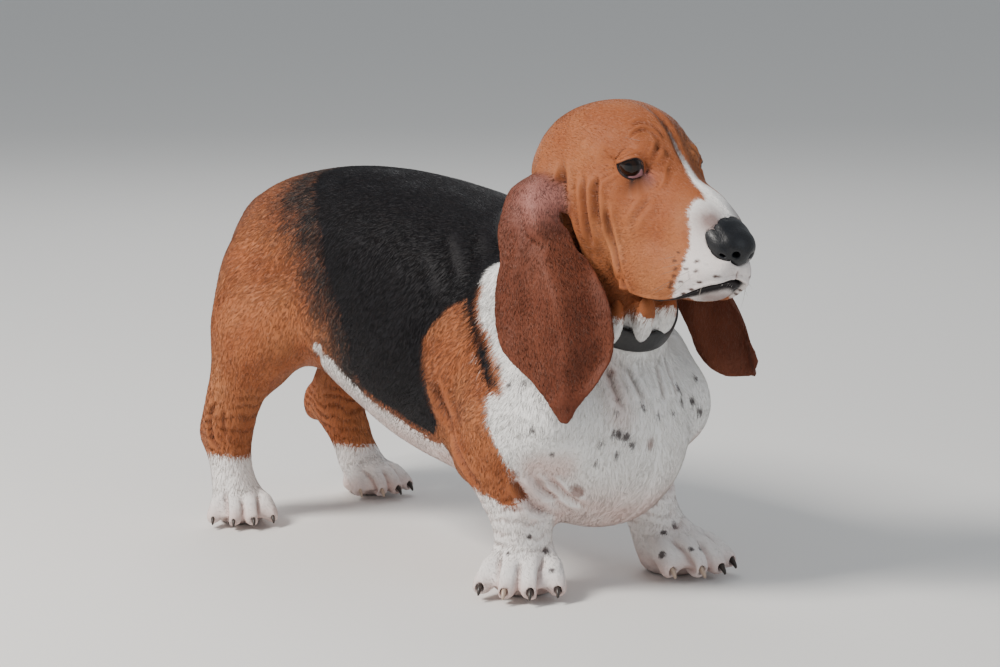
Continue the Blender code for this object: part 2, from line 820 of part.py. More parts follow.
def claws():
    made = {}
    for leg, paw in PAWS.items():
        for number, toe in enumerate(TOES, 1):
            name = f"claw_{leg}_{number}"
            obj = limb(name, claw_rows(toe), steps=1, count=7)
            obj.data.transform(paw_frame(paw))
            obj.name = name
            obj.data.materials.append(material("claw", (0.05, 0.04, 0.04), 0.35))
            made[name] = obj
    return made


def collar():
    rings = []
    turn = Matrix.Translation(COLLAR_CENTRE) @ Matrix.Rotation(COLLAR_TILT, 4, "Y")
    steps = 36
    for i in range(steps):
        a = 2 * math.pi * i / steps
        out = Vector((math.cos(a), math.sin(a), 0))
        at = Vector((COLLAR_HALF_DEPTH * out.x, COLLAR_HALF_WIDTH * out.y, 0))
        normal = Vector((out.x / COLLAR_HALF_DEPTH, out.y / COLLAR_HALF_WIDTH, 0)).normalized()
        r = ring(at, normal, (0, 0, 1), COLLAR_THICKNESS, COLLAR_STRAP / 2, COLLAR_STRAP / 2, 5, 8)
        rings.append([turn @ p for p in r])
    points = [p for r in rings for p in r]
    faces = []
    for i in range(steps):
        n = (i + 1) % steps
        for j in range(8):
            k = (j + 1) % 8
            faces.append((i * 8 + j, i * 8 + k, n * 8 + k, n * 8 + j))
    obj = mesh_object("collar", points, faces)
    face_out(obj)
    obj.data.materials.append(material("strap", (0.015, 0.014, 0.014), 0.6))
    return obj


def build():
    clear_scene()
    flesh = whole_flesh()
    decimate(flesh, FLESH_TRIANGLES)
    nodes = part_flesh(flesh)
    strap = collar()
    boolean(nodes["neck"], grown(strap), "DIFFERENCE")
    jaw = lower_jaw()
    boolean(nodes["head"], grown(jaw), "DIFFERENCE")
    boolean(jaw, grown(nodes["neck"]), "DIFFERENCE")
    tip = nose_pad()
    boolean(nodes["head"], grown(tip), "DIFFERENCE")
    cut_nostrils(tip)
    for name, s in sides():
        ball = eye("eye_" + name, s)
        boolean(nodes["head"], lid_opening(s), "DIFFERENCE")
        boolean(nodes["head"], grown(ball), "DIFFERENCE")
        leaf = ear("ear_" + name, EAR_LEFT if s > 0 else EAR_RIGHT, s)
        for neighbour in (nodes["head"], nodes["neck"], nodes["torso"]):
            boolean(leaf, grown(neighbour), "DIFFERENCE")
        largest_only(leaf)
        leaf.data.materials.append(material("ear", (0.22, 0.075, 0.035), 0.7))
    largest_only(jaw)
    for name, claw in claws().items():
        leg = "foreleg_" if "_fore_" in name else "hindleg_"
        leg += "left" if "_left_" in name else "right"
        boolean(nodes[leg], grown(claw), "DIFFERENCE")
    coat = material("coat", (0.45, 0.19, 0.07), 0.7)
    for obj in [*nodes.values(), jaw]:
        largest_only(obj)
        obj.data.materials.clear()
        obj.data.materials.append(coat)
    for obj in bpy.data.objects:
        obj.data.transform(Matrix.Translation(LAYOUT_TO_ORIGIN))
        obj.data.shade_smooth()
        obj.data.set_sharp_from_angle(angle=SHARP_ANGLE)


build()
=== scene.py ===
import json
import math

import bpy
import numpy as np
from mathutils import Matrix, Vector
from mathutils.bvhtree import BVHTree
from mathutils.kdtree import KDTree

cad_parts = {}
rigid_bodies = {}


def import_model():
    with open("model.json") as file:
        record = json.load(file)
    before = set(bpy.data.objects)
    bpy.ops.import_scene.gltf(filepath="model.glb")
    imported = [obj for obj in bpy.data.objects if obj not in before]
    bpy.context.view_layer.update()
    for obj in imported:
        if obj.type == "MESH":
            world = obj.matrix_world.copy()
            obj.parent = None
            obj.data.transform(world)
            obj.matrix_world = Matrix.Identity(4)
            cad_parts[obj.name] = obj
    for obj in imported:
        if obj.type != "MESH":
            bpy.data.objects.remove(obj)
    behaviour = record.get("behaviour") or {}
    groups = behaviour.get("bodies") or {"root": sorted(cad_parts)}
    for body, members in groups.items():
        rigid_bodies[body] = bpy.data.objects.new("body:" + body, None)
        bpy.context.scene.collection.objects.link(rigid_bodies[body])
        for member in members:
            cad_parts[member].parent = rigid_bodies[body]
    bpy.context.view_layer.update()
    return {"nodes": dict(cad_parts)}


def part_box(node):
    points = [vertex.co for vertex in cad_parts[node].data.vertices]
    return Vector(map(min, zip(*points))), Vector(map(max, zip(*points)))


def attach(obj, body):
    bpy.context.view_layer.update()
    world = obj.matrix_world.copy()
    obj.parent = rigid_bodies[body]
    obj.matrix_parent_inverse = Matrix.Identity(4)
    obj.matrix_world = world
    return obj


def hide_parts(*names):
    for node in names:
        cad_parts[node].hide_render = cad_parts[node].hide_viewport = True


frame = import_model()
nodes = frame["nodes"]
sides = {"left": 1, "right": -1}
print("frame loaded")


# Small helpers on objects and their points

def deselectAll():
    for obj in bpy.context.scene.objects:
        obj.select_set(False)


def makeActive(obj):
    deselectAll()
    obj.select_set(True)
    bpy.context.view_layer.objects.active = obj


def applyModifier(obj, kind, **settings):
    makeActive(obj)
    modifier = obj.modifiers.new(kind.lower(), kind)
    for key, value in settings.items():
        setattr(modifier, key, value)
    bpy.ops.object.modifier_apply(modifier=modifier.name)


def editAll(obj, operator, **settings):  # one edit-mode operator on all of an object
    makeActive(obj)
    bpy.ops.object.mode_set(mode="EDIT")
    bpy.ops.mesh.select_all(action="SELECT")
    operator(**settings)
    bpy.ops.object.mode_set(mode="OBJECT")


def plainCopy(source, name):
    obj = source.copy()
    obj.data = source.data.copy()
    obj.name = name
    for key in list(obj.keys()):
        del obj[key]
    bpy.context.scene.collection.objects.link(obj)
    obj.parent = None
    return obj


def freeCopy(nodeName, name):  # a CAD node's loose triangles, copied and merged
    obj = plainCopy(nodes[nodeName], name)
    obj.data.materials.clear()
    editAll(obj, bpy.ops.mesh.remove_doubles, threshold=0.00002)
    return obj


def joined(objects, name):
    deselectAll()
    for obj in objects:
        obj.select_set(True)
    bpy.context.view_layer.objects.active = objects[0]
    bpy.ops.object.join()
    objects[0].name = name
    return objects[0]


def readArray(items, key, width, kind=np.float32):
    flat = np.empty(len(items) * width, kind)
    items.foreach_get(key, flat)
    return flat.reshape(-1, width)


def pointsOf(obj):
    return readArray(obj.data.vertices, "co", 3).astype(float)


def setPoints(obj, points):
    obj.data.vertices.foreach_set("co", points.astype(np.float32).ravel())
    obj.data.update()


def normalsOf(obj):
    return readArray(obj.data.vertex_normals, "vector", 3).astype(float)


def edgesOf(obj):
    return readArray(obj.data.edges, "vertices", 2, np.int32)


def trianglesOf(obj):
    return readArray(obj.data.polygons, "vertices", 3, np.int32)


def floatsOf(obj, name):
    return readArray(obj.data.attributes[name].data, "value", 1)[:, 0]


def putFloat(mesh, name, values):
    layer = mesh.attributes.new(name, "FLOAT", "POINT")
    layer.data.foreach_set("value", values.astype(np.float32))


def putVector(mesh, name, values):
    layer = mesh.attributes.new(name, "FLOAT_VECTOR", "POINT")
    layer.data.foreach_set("vector", values.astype(np.float32).ravel())


def relaxed(values, edges, share, times):  # each value drawn towards its neighbours' mean
    flat = values.reshape(len(values), -1).copy()
    a, b = edges[:, 0], edges[:, 1]
    count = np.bincount(a, minlength=len(flat)) + np.bincount(b, minlength=len(flat))
    count = np.maximum(count, 1)
    for _ in range(times):
        for axis in range(flat.shape[1]):
            column = flat[:, axis]
            total = np.bincount(a, column[b], len(flat)) + np.bincount(b, column[a], len(flat))
            flat[:, axis] = column + share * (total / count - column)
    return flat.reshape(values.shape)


def ease(value, low, high):  # 0 at low, 1 at high, smooth between
    t = np.clip((value - low) / (high - low), 0, 1)
    return t * t * (3 - 2 * t)


def swell(value, at, width):  # 1 at a value, fading to both sides of it
    return np.exp(-((value - at) / width) ** 2)


def inMetres(rows):  # rows of places and sizes that are written in millimetres
    return [tuple(value / 1000 for value in row) for row in rows]


def unit(vectors):
    return vectors / np.maximum(np.linalg.norm(vectors, axis=-1, keepdims=True), 1e-9)


def ripple(points, size, seed):  # a smooth random field, mostly within -1 to 1
    draw = np.random.default_rng(seed)
    total = np.zeros(len(points))
    for _ in range(9):
        way = draw.normal(size=3)
        way *= 2 * math.pi / (size * draw.uniform(0.6, 1.5) * np.linalg.norm(way))
        total += np.sin(points @ way + draw.uniform(0, 2 * math.pi))
    return total / 3


def smoothPath(stops, steps=6):  # a Catmull-Rom curve through a few stops
    stops = np.array(stops, float)
    ends = np.vstack([2 * stops[0] - stops[1], stops, 2 * stops[-1] - stops[-2]])
    out = []
    for i in range(1, len(ends) - 2):
        a, b, c, d = ends[i - 1:i + 3]
        for t in np.arange(steps) / steps:
            bend = (2 * a - 5 * b + 4 * c - d) * t * t + (3 * b - a - 3 * c + d) * t ** 3
            out.append(0.5 * (2 * b + (c - a) * t + bend))
    out.append(stops[-1])
    return np.array(out)


def pathDistance(points, path):  # how far each point is from a path, and how far along it lies
    best = np.full(len(points), 1e9)
    along = np.zeros(len(points))
    for i in range(len(path) - 1):
        a, step = path[i], path[i + 1] - path[i]
        t = np.clip((points - a) @ step / max(step @ step, 1e-12), 0, 1)
        far = np.linalg.norm(points - a - t[:, None] * step, axis=1)
        nearer = far < best
        best[nearer] = far[nearer]
        along[nearer] = (i + t[nearer]) / (len(path) - 1)
    return best, along


def nearPath(points, path, reach):  # which points lie in the path's box, widened by a reach
    low, high = path.min(axis=0) - reach, path.max(axis=0) + reach
    return np.all((points > low) & (points < high), axis=1).nonzero()[0]


def surfaceOf(obj):
    points = pointsOf(obj).tolist()
    return BVHTree.FromPolygons(points, [tuple(p.vertices) for p in obj.data.polygons])


def seated(places, surface):  # each place moved to the nearest point of the skin
    return np.array([tuple(surface.find_nearest(tuple(place))[0]) for place in np.atleast_2d(places)])


def insideOutline(flat, outline):  # metres inside a flat outline, negative outside it
    inside = np.zeros(len(flat), bool)
    best = np.full(len(flat), 1e9)
    for a, b in zip(outline, outline[1:] + outline[:1]):
        a, b = np.array(a), np.array(b)
        step = b - a
        t = np.clip((flat - a) @ step / (step @ step), 0, 1)
        best = np.minimum(best, np.linalg.norm(flat - a - t[:, None] * step, axis=1))
        spans = (a[1] > flat[:, 1]) != (b[1] > flat[:, 1])
        rise = step[1] if abs(step[1]) > 1e-9 else 1e-9
        inside ^= spans & (flat[:, 0] < a[0] + (flat[:, 1] - a[1]) * step[0] / rise)
    return np.where(inside, best, -best)


# The head's own frame, midway between the eyes: turned, tipped nose down and leaning

headPlan = {
    "yaw": -3.4,
    "pitch": 26,
    "lean": -6.5,
    "eyeSeatBack": 0.0225,
    "eyeSeatUp": 0.0015,
    "layoutPlace": (0.095, 0.0, 0.3985),  # where the head's frame stands in the body's layout
}
headTurn = Matrix.Identity(3)
for angle, axis in (("yaw", "Z"), ("pitch", "Y"), ("lean", "X")):
    headTurn = headTurn @ Matrix.Rotation(math.radians(headPlan[angle]), 3, axis)
eyeMiddle = {}
for sideName in sides:
    low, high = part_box("eye_" + sideName)
    eyeMiddle[sideName] = (low + high) / 2
headAt = (eyeMiddle["left"] + eyeMiddle["right"]) / 2
headAt -= headTurn @ Vector((-headPlan["eyeSeatBack"], 0, headPlan["eyeSeatUp"]))
turnRows = np.array(headTurn)
layoutShift = np.array(headAt - Vector(headPlan["layoutPlace"]))
layoutShift[2] = 0
midline = layoutShift[1]


def toHead(points):
    return (points - np.array(headAt)) @ turnRows


def fromHead(points):
    return np.array(points, float) @ turnRows.T + np.array(headAt)


def mirroredHead(stops, side):
    return fromHead([(x, side * y, z) for x, y, z in stops])


def fromLayout(stops):  # body places are written in the layout that the solids were drawn in
    return np.array(stops, float) + layoutShift


# One skin over all the flesh

skinPlan = {
    "voxel": 0.0021,
    "smoothBody": 32,
    "smoothHead": 18,
    "smoothFine": 5,  # on the ears and feet
    "feetHeight": (0.030, 0.055),
    "eyeZones": (0.030, 0.023),  # faces are halved this near the eyes, once for each zone
    "mouthZone": 0.010,
    "coatDepth": 0.0012,
    "earCoatDepth": 0.0006,
    "lowest": 0.0004,
    "triangles": 190000,
}
ears = ["ear_left", "ear_right"]
headNodes = ["head", "lower_jaw"]
forelegs = ["foreleg_left", "foreleg_right"]
hindlegs = ["hindleg_left", "hindleg_right"]
fleshNodes = ["torso", "head", "lower_jaw", "neck", "tail"] + ears + forelegs + hindlegs
# Soft forms that the solids leave out: place in the layout, half sizes and tilt
softForms = {
    "dewlapRight": {"at": (0.063, -0.047, 0.266), "half": (0.012, 0.010, 0.026), "tilt": 14},
    "dewlapMiddle": {"at": (0.077, -0.022, 0.268), "half": (0.012, 0.012, 0.026), "tilt": 14},
    "dewlapLeft": {"at": (0.072, 0.012, 0.270), "half": (0.012, 0.011, 0.024), "tilt": 14},
    "neckCore": {"at": (-0.025, 0.0, 0.303), "half": (0.1025, 0.0715, 0.070), "tilt": 34},
}


def addSoftForm(name, plan):
    deselectAll()
    bpy.ops.mesh.primitive_uv_sphere_add(segments=40, ring_count=24, radius=1)
    form = bpy.context.active_object
    form.name = name
    turn = Matrix.Rotation(math.radians(plan["tilt"]), 4, "Y") @ Matrix.Diagonal((*plan["half"], 1))
    form.data.transform(Matrix.Translation(Vector(plan["at"]) + Vector(layoutShift)) @ turn)
    return form


def nearestNode(points):  # which CAD node each point belongs to
    spots, owners = [], []
    for name in fleshNodes:
        co = pointsOf(nodes[name])
        spots.append(co)
        middles = co.reshape(-1, 3, 3).mean(axis=1) if len(co) % 3 == 0 else co
        spots.append(middles)
        owners += [name] * (len(co) + len(middles))
    spots = np.vstack(spots)
    tree = KDTree(len(spots))
    for i, spot in enumerate(spots):
        tree.insert(spot, i)
    tree.balance()
    return np.array([owners[tree.find(p)[1]] for p in points])


# The eyes: a ball, and the outline of the opening on it, in millimetres towards the nose and up

eyePlan = {
    "radius": 0.0145,
    "sink": 0.0018,
    "back": 0.0026,  # a little behind the solid's seat
    "turn": 52,
    "opening": [(-11.8, -6.0), (-8.6, -1.4), (-4, 4.2), (1.8, 8.2), (6.4, 6.8), (9.8, 0.6),
                (11.2, -5.4), (6.6, -9.2), (-1, -10.4), (-8, -9.4)],
    "haw": [(8.6, 2.4), (14.4, 1.5), (13.5, -5), (6.5, -12), (-3, -13), (2, -9.0),
            (6.6, -6.0), (8.4, -2)],
    "iris": (-2.0, -0.5),
    "irisRadius": 9.5,
    "pupilRadius": 3.6,
}
lidPlan = {
    "thick": 0.0017,
    "tuck": 0.0032,  # how far the skin dips behind the ball's surface inside the opening
    "least": 0.0010,  # the skin's least height over the ball
    "wide": 0.014,
    "skinReach": 0.034,
}


def overBall(outline):  # the outline as seen from the front, laid in metres along the ball
    out = []
    for x, y in inMetres(outline):
        seen = math.hypot(x, y)
        share = eyePlan["radius"] * math.asin(min(seen / eyePlan["radius"], 0.999)) / seen
        out.append((x * share, y * share))
    return out


eyeOpening, hawOutline = overBall(eyePlan["opening"]), overBall(eyePlan["haw"])
smoothOpening = [tuple(p) for p in smoothPath(eyeOpening + eyeOpening[:1], 4)[:-1]]


def eyeWays(side):  # towards the gaze, the nose and the brow
    turn = math.radians(eyePlan["turn"])
    gaze = headTurn @ Vector((math.cos(turn), side * math.sin(turn), 0))
    inner = headTurn @ Vector((math.sin(turn), -side * math.cos(turn), 0))
    up = headTurn @ Vector((0, 0, 1))
    return np.array(gaze), np.array(inner), np.array(up)


def eyeCentre(sideName):
    gaze, inner, up = eyeWays(sides[sideName])
    return np.array(eyeMiddle[sideName]) - gaze * eyePlan["sink"] - inner * eyePlan["back"]


def onEye(points, sideName):  # flat places on the ball, the reach from its centre, 1 where in front
    gaze, inner, up = eyeWays(sides[sideName])
    local = points - eyeCentre(sideName)
    reach = np.linalg.norm(local, axis=1)
    way = local / np.maximum(reach, 1e-6)[:, None]
    front = np.clip(way @ gaze, -0.999, 0.99999)
    share = np.arccos(front) / np.sqrt(1 - front ** 2)
    flat = np.stack([way @ inner, way @ up], axis=1) * (eyePlan["radius"] * share)[:, None]
    return flat, reach, front


def lidMeasure(points, sideName):  # metres outside the eye's opening, negative within it
    flat, reach, front = onEye(points, sideName)
    outside = np.full(len(points), 0.03)
    near = (reach < lidPlan["skinReach"]) & (front > -0.5)
    outside[near] = -insideOutline(flat[near], smoothOpening)
    return outside, reach, flat


def shapeLids(points):
    ball, tuck, least = eyePlan["radius"], lidPlan["tuck"], eyePlan["radius"] + lidPlan["least"]
    for sideName in sides:
        centre = eyeCentre(sideName)
        outside, reach, flat = lidMeasure(points, sideName)
        rim = ball - tuck + (tuck + lidPlan["thick"]) * ease(outside, -0.0004, 0.0014)
        upper = 0.0010 * swell(outside, 0.0078, 0.0022) - 0.0007 * swell(outside, 0.0046, 0.0011)
        lower = 0.0010 * swell(outside, 0.0045, 0.0020) - 0.0005 * swell(outside, 0.0085, 0.0014)
        above = ease(flat[:, 1], -0.004, 0.002)
        keep = ease(outside, 0.0050, 0.0135)
        radius = (rim + upper * above + lower * (1 - above)) * (1 - keep) + reach * keep
        covered = outside > 0.0014
        radius = np.where(covered, np.maximum(radius, least), radius)
        near = (outside < lidPlan["wide"]) | (covered & (reach < least))
        moved = centre + (points - centre) / np.maximum(reach, 1e-6)[:, None] * radius[:, None]
        points = np.where(near[:, None], moved, points)
    return points


# Folds pressed into the skin, in millimetres: width, depth, height of the ridge beside it, path

headFolds = [
    (3.8, 6.4, 3, [(-92, 58, -31), (-75, 59, -50), (-55, 57, -73), (-34, 51, -98), (-10, 44, -118)]),
    (3.2, 5.4, 2.6, [(-60, 58, -28), (-41, 61, -48), (-28, 58, -67), (-14, 52, -92)]),
    (3, 4.4, 2.2, [(-43, 56, -20), (-34, 59, -34), (-25, 59, -46), (-11, 54, -64)]),
    (2.8, 3.4, 2.2, [(-20, 56, -38), (-10, 54, -50), (2, 49, -67), (16, 48, -78), (28, 46, -88)]),
    (1.8, 1.5, 1.3, [(-40, 40, 21), (-39, 30, 29), (-31, 21, 32), (-18, 16, 28)]),
    (2.4, 1.5, 1.2, [(-49, 34, 27), (-46, 24, 34), (-36, 15, 36), (-22, 10, 30)]),
    (2.6, 1.7, 1.4, [(-18, 17, 27), (-14, 24, 26), (-1, 29, 20), (6, 29, 5), (6, 33, -9)]),
    (4, 1.2, 1, [(10, 32, -14), (12, 38, -30), (14, 43, -48)]),
    (2.4, 2.6, 2.2, [(30, 46, -88), (36, 46, -94), (46, 43, -99)]),
]
middleFolds = [
    (3.6, 2.2, 1, [(-75, 0, 36), (-44, 0, 36), (-14, 0, 28), (10, 0, 18)]),
    (1.4, 2.2, 0.4, [(123, 0, -24), (122, 0, -32), (120, 0, -39)]),
]
bodyFolds = [
    (5, 5, 2.2, [(-99, 111, 156), (-81, 118, 139), (-60, 123, 119), (-42, 121, 102)]),
    (6, 2.8, 1.6, [(-116, 108, 200), (-108, 112, 178), (-94, 114, 152)]),
    (9, 0.8, 1, [(-154, 80, 330), (-138, 84, 318), (-118, 92, 300), (-104, 100, 276)]),
    (8, 0.8, 1, [(-131, 62, 345), (-112, 74, 330), (-92, 86, 306), (-82, 94, 280)]),
    (4, 4, 2.4, [(-4, 112, 118), (-2, 106, 106), (1, 90, 88), (-4, 66, 76)]),
    (3, 3, 2.2, [(6, 98, 122), (10, 86, 104), (14, 70, 92)]),
    (3.6, 2.6, 2.4, [(16, 90, 116), (22, 74, 98), (30, 52, 86)]),
    (3.6, 2.6, 2.2, [(42, 40, 228), (55, 38, 204), (64, 36, 182)]),
    (3.4, 2.2, 1.8, [(54, 20, 226), (64, 16, 206), (70, 12, 186)]),
    (5, 2.4, 1.6, [(-300, 104, 216), (-318, 98, 196), (-338, 90, 180)]),
    (3, 3.6, 3, [(-457, 121, 134), (-466, 123, 116), (-466, 123, 94), (-457, 120, 76)]),
    (2.4, 2.2, 1.8, [(-446, 120, 128), (-449, 119, 108), (-448, 117, 90)]),
]
# Stacks of rolled skin above the feet: span of heights, spacing and height of the rolls
legRolls = {
    "foreleg_right": {"low": 0.034, "high": 0.108, "space": 0.0125, "size": 0.0026, "seed": 5},
    "foreleg_left": {"low": 0.034, "high": 0.104, "space": 0.0125, "size": 0.0026, "seed": 6},
    "hindleg_right": {"low": 0.060, "high": 0.150, "space": 0.0115, "size": 0.0017, "seed": 7},
    "hindleg_left": {"low": 0.060, "high": 0.136, "space": 0.0110, "size": 0.0023, "seed": 8},
}
# Feet in the layout: where each stands, how far it is turned out, its size and its toes
feet = {
    "foreleg_right": {"at": (-0.019, -0.086), "turn": -49, "size": 1.0},
    "foreleg_left": {"at": (0.017, 0.087), "turn": -6, "size": 1.0},
    "hindleg_right": {"at": (-0.449, -0.097), "turn": -34, "size": 0.84},
    "hindleg_left": {"at": (-0.473, 0.099), "turn": -10, "size": 0.84},
}
toeGaps = {"across": (-0.0210, 0.0, 0.0210), "from": (0.006, 0.022, 0.006), "to": (0.052, 0.060, 0.052),
           "width": 0.0020, "depth": 0.0046}


def toFoot(points, foot):
    turn = math.radians(foot["turn"])
    local = points - fromLayout((*foot["at"], 0))
    x = local[:, 0] * math.cos(turn) + local[:, 1] * math.sin(turn)
    y = -local[:, 0] * math.sin(turn) + local[:, 1] * math.cos(turn)
    return np.stack([x, y, local[:, 2]], axis=1) / foot["size"]


def foldPlans():  # the measures of every fold on both sides, and its path's stops
    plans = []
    for *measures, stops in headFolds:
        width, depth, ridge = inMetres([measures])[0]
        for side in sides.values():
            farBrow = side > 0 and width < 0.0025  # that brow is the smoother one
            sizes = (width, depth * 0.3, ridge * 0.2) if farBrow else (width, depth, ridge)
            plans.append((sizes, mirroredHead(inMetres(stops), side)))
    for *measures, stops in middleFolds:
        plans.append((inMetres([measures])[0], fromHead(inMetres(stops))))
    for *measures, stops in bodyFolds:
        for side in sides.values():
            placed = fromLayout(np.array(inMetres(stops)) * (1, side, 1))
            plans.append((inMetres([measures])[0], placed))
    return plans


def pressFolds(points, surface):
    lift, creases = np.zeros(len(points)), np.zeros(len(points))
    for (width, depth, ridge), stops in foldPlans():
        path = seated(smoothPath(stops), surface)
        for _ in range(4):
            path[1:-1] = (path[:-2] + 2 * path[1:-1] + path[2:]) / 4
        near = nearPath(points, path, 5 * width + 0.006)
        far, along = pathDistance(points[near], path)
        taper = ease(along, 0, 0.25) * (1 - ease(along, 0.75, 1))
        lift[near] -= depth * taper * swell(far, 0, width)
        lift[near] += ridge * taper * swell(far, 2 * width, width)
        # crease mask: shade is painted into the colours along each fold
        dark = taper * swell(far, 0, 0.8 * width) * min(1, depth / 0.004)
        creases[near] = np.maximum(creases[near], dark)
    return lift, creases


def rollLegs(points, owners):
    lift, creases = np.zeros(len(points)), np.zeros(len(points))
    for name, plan in legRolls.items():
        mine = owners == name
        spots, seed = points[mine], plan["seed"]
        local, height = toFoot(spots, feet[name]), spots[:, 2]
        wave = 0.0050 * ripple(spots, 0.075, seed) + 0.0016 * ripple(spots, 0.022, seed + 20)
        tilt = 0.22 * local[:, 0] + 0.10 * local[:, 1] * math.copysign(1, seed - 6.5)
        roll = np.abs(np.sin(math.pi * (height + wave + tilt) / plan["space"]))
        span = ease(height, plan["low"], plan["low"] + 0.02)
        span = span * (1 - ease(height, plan["high"] - 0.03, plan["high"]))
        strength = span * np.clip(0.55 + 0.55 * ripple(spots, 0.05, seed + 40), 0.08, 1.1)
        lift[mine] += plan["size"] * strength * (roll ** 0.55 - 0.62)
        # crease mask: shade is painted into the colours of the hollows between the rolls
        creases[mine] = strength * (1 - ease(roll, 0.0, 0.30))
        for across, start, end in zip(toeGaps["across"], toeGaps["from"], toeGaps["to"]):
            centre = across * (1 + 2.5 * np.maximum(local[:, 0] - 0.030, 0))
            run = ease(local[:, 0], start, start + 0.014) * (local[:, 0] < end) * (height > 0.003)
            gap = run * swell(local[:, 1], centre, toeGaps["width"])
            gap = gap * (1 - ease(local[:, 2], 0.034, 0.050))
            lift[mine] -= toeGaps["depth"] * gap
            # painted shade in the gaps between the toes
            creases[mine] = np.maximum(creases[mine], gap)
    return lift, creases


# The long folds of the hanging ears, on both faces, in millimetres: push, width, places along and up
earFolds = [
    (-8, 13, [(-37, -84), (-2, -100), (30, -112), (54, -130), (69, -153)]),
    (-6, 12, [(-70, -110), (-52, -150), (-32, -185)]),
    (7.2, 9.5, [(-65, -69), (-44, -89), (3, -119), (36, -158), (60, -203)]),
    (-5.6, 10, [(-48, -108), (-22, -146), (8, -181), (41, -204)]),
    (-6, 8.5, [(-12, -98), (22, -118), (53, -147), (65, -177)]),
    (4, 9, [(-88, -60), (-70, -74), (-52, -80)]),
    (-3.4, 5, [(-82, -86), (-60, -100), (-40, -100)]),
    (3, 6, [(-46, -160), (-28, -178), (-10, -192), (14, -204)]),
]


def bendEars(points, owners):
    push = np.zeros(points.shape)
    for sideName, side in sides.items():
        mine = owners == "ear_" + sideName
        head = toHead(points[mine])[:, [0, 2]]
        amount = 0.0010 * ripple(points[mine], 0.035, 61)
        for size, width, stops in earFolds:
            far, along = pathDistance(head, smoothPath(inMetres(stops)))
            amount += size / 1000 * swell(far, 0, width / 1000)
        push[mine, 1] = side * amount
    return push


# The line of the mouth: under the hanging lip, from below the nose to its corner

mouthPlan = {
    "stops": inMetres([(121, 0, -40), (119, 8, -41), (113, 20, -47), (106, 27, -56), (96, 32, -70),
                       (83, 36, -83), (68, 41, -92), (51, 42, -98), (34, 41, -99)]),
    "width": 0.0022,
    "depth": 0.0070,
}


def mouthMeasure(points, surface):  # distance from the line, and height above it
    best, above = np.full(len(points), 1.0), np.zeros(len(points))
    for side in sides.values():
        path = seated(smoothPath(mirroredHead(mouthPlan["stops"], side)), surface)
        near = nearPath(points, path, 0.03)
        far, along = pathDistance(points[near], path)
        level = np.interp(along * (len(path) - 1), np.arange(len(path)), path[:, 2])
        nearer = far < best[near]
        best[near[nearer]] = far[nearer]
        above[near[nearer]] = (points[near, 2] - level)[nearer]
    return best, above


def halveFaces(obj, wanted):
    makeActive(obj)
    bpy.ops.object.mode_set(mode="EDIT")
    bpy.ops.mesh.select_mode(type="VERT")
    bpy.ops.mesh.select_all(action="DESELECT")
    bpy.ops.object.mode_set(mode="OBJECT")
    obj.data.vertices.foreach_set("select", wanted)
    obj.data.update()
    bpy.ops.object.mode_set(mode="EDIT")
    bpy.ops.mesh.select_mode(type="FACE")
    bpy.ops.mesh.subdivide(number_cuts=1)
    bpy.ops.object.mode_set(mode="OBJECT")


def smoothSkin(skin):  # most on the body, least on the ears and feet
    points, edges = pointsOf(skin), edgesOf(skin)
    owners = nearestNode(points)
    isHead = np.isin(owners, headNodes).astype(float)
    isFine = np.maximum(np.isin(owners, ears), 1 - ease(points[:, 2], *skinPlan["feetHeight"]))
    headPart = relaxed(np.maximum(isHead - isFine, 0), edges, 0.8, 8)[:, None]
    finePart = relaxed(isFine, edges, 0.8, 8)[:, None]
    body = relaxed(points, edges, 0.6, skinPlan["smoothBody"])
    head = relaxed(points, edges, 0.5, skinPlan["smoothHead"])
    fine = relaxed(points, edges, 0.5, skinPlan["smoothFine"])
    setPoints(skin, body * (1 - headPart - finePart) + head * headPart + fine * finePart)


def refineFace(skin, surface):
    for zone in skinPlan["eyeZones"]:
        points = pointsOf(skin)
        wanted = np.zeros(len(points), bool)
        for sideName in sides:
            wanted |= np.linalg.norm(points - eyeCentre(sideName), axis=1) < zone
        if zone == max(skinPlan["eyeZones"]):
            wanted |= mouthMeasure(points, surface)[0] < skinPlan["mouthZone"]
        halveFaces(skin, wanted)


def sculptSkin(skin, surface):  # folds, rolls, mouth, ears and lids, and what they tell the colours
    points, edges = pointsOf(skin), edgesOf(skin)
    owners = nearestNode(points)
    offEar = ~np.isin(owners, ears)
    foldLift, foldCrease = pressFolds(points, surface)
    rollLift, rollCrease = rollLegs(points, owners)
    mouth, mouthUp = mouthMeasure(points, surface)
    lip = 0.0016 * swell(mouth, 0.0046, 0.0020) * (mouthUp > 0)
    lip -= 0.0028 * swell(mouth, 0.0060, 0.0040) * (mouthUp < 0)
    lip -= mouthPlan["depth"] * swell(mouth, 0, mouthPlan["width"])
    lift = (foldLift + lip) * offEar + rollLift
    sink = np.where(offEar, skinPlan["coatDepth"], skinPlan["earCoatDepth"])
    lift -= relaxed(sink, edges, 0.5, 6)
    points = points + normalsOf(skin) * lift[:, None]
    points = points + relaxed(bendEars(points, owners), edges, 0.5, 4)
    points = shapeLids(relaxed(points, edges, 0.3, 1))
    points[:, 2] = np.maximum(points[:, 2], skinPlan["lowest"])
    setPoints(skin, points)
    # the creases of folds, rolls and toe gaps, where shade is painted into the colours
    putFloat(skin.data, "crease", np.maximum(foldCrease * offEar, rollCrease))
    darkLip = np.where(mouthUp > 0, 1 - ease(mouth, 0.0012, 0.0028), 1 - ease(mouth, 0.0090, 0.0150))
    onHead = np.isin(owners, headNodes)
    putFloat(skin.data, "lips", darkLip * onHead)
    thinned = skin.vertex_groups.new(name="thinned")  # decimation spares the head
    thinned.add(np.nonzero(~onHead)[0].tolist(), 1.0, "REPLACE")


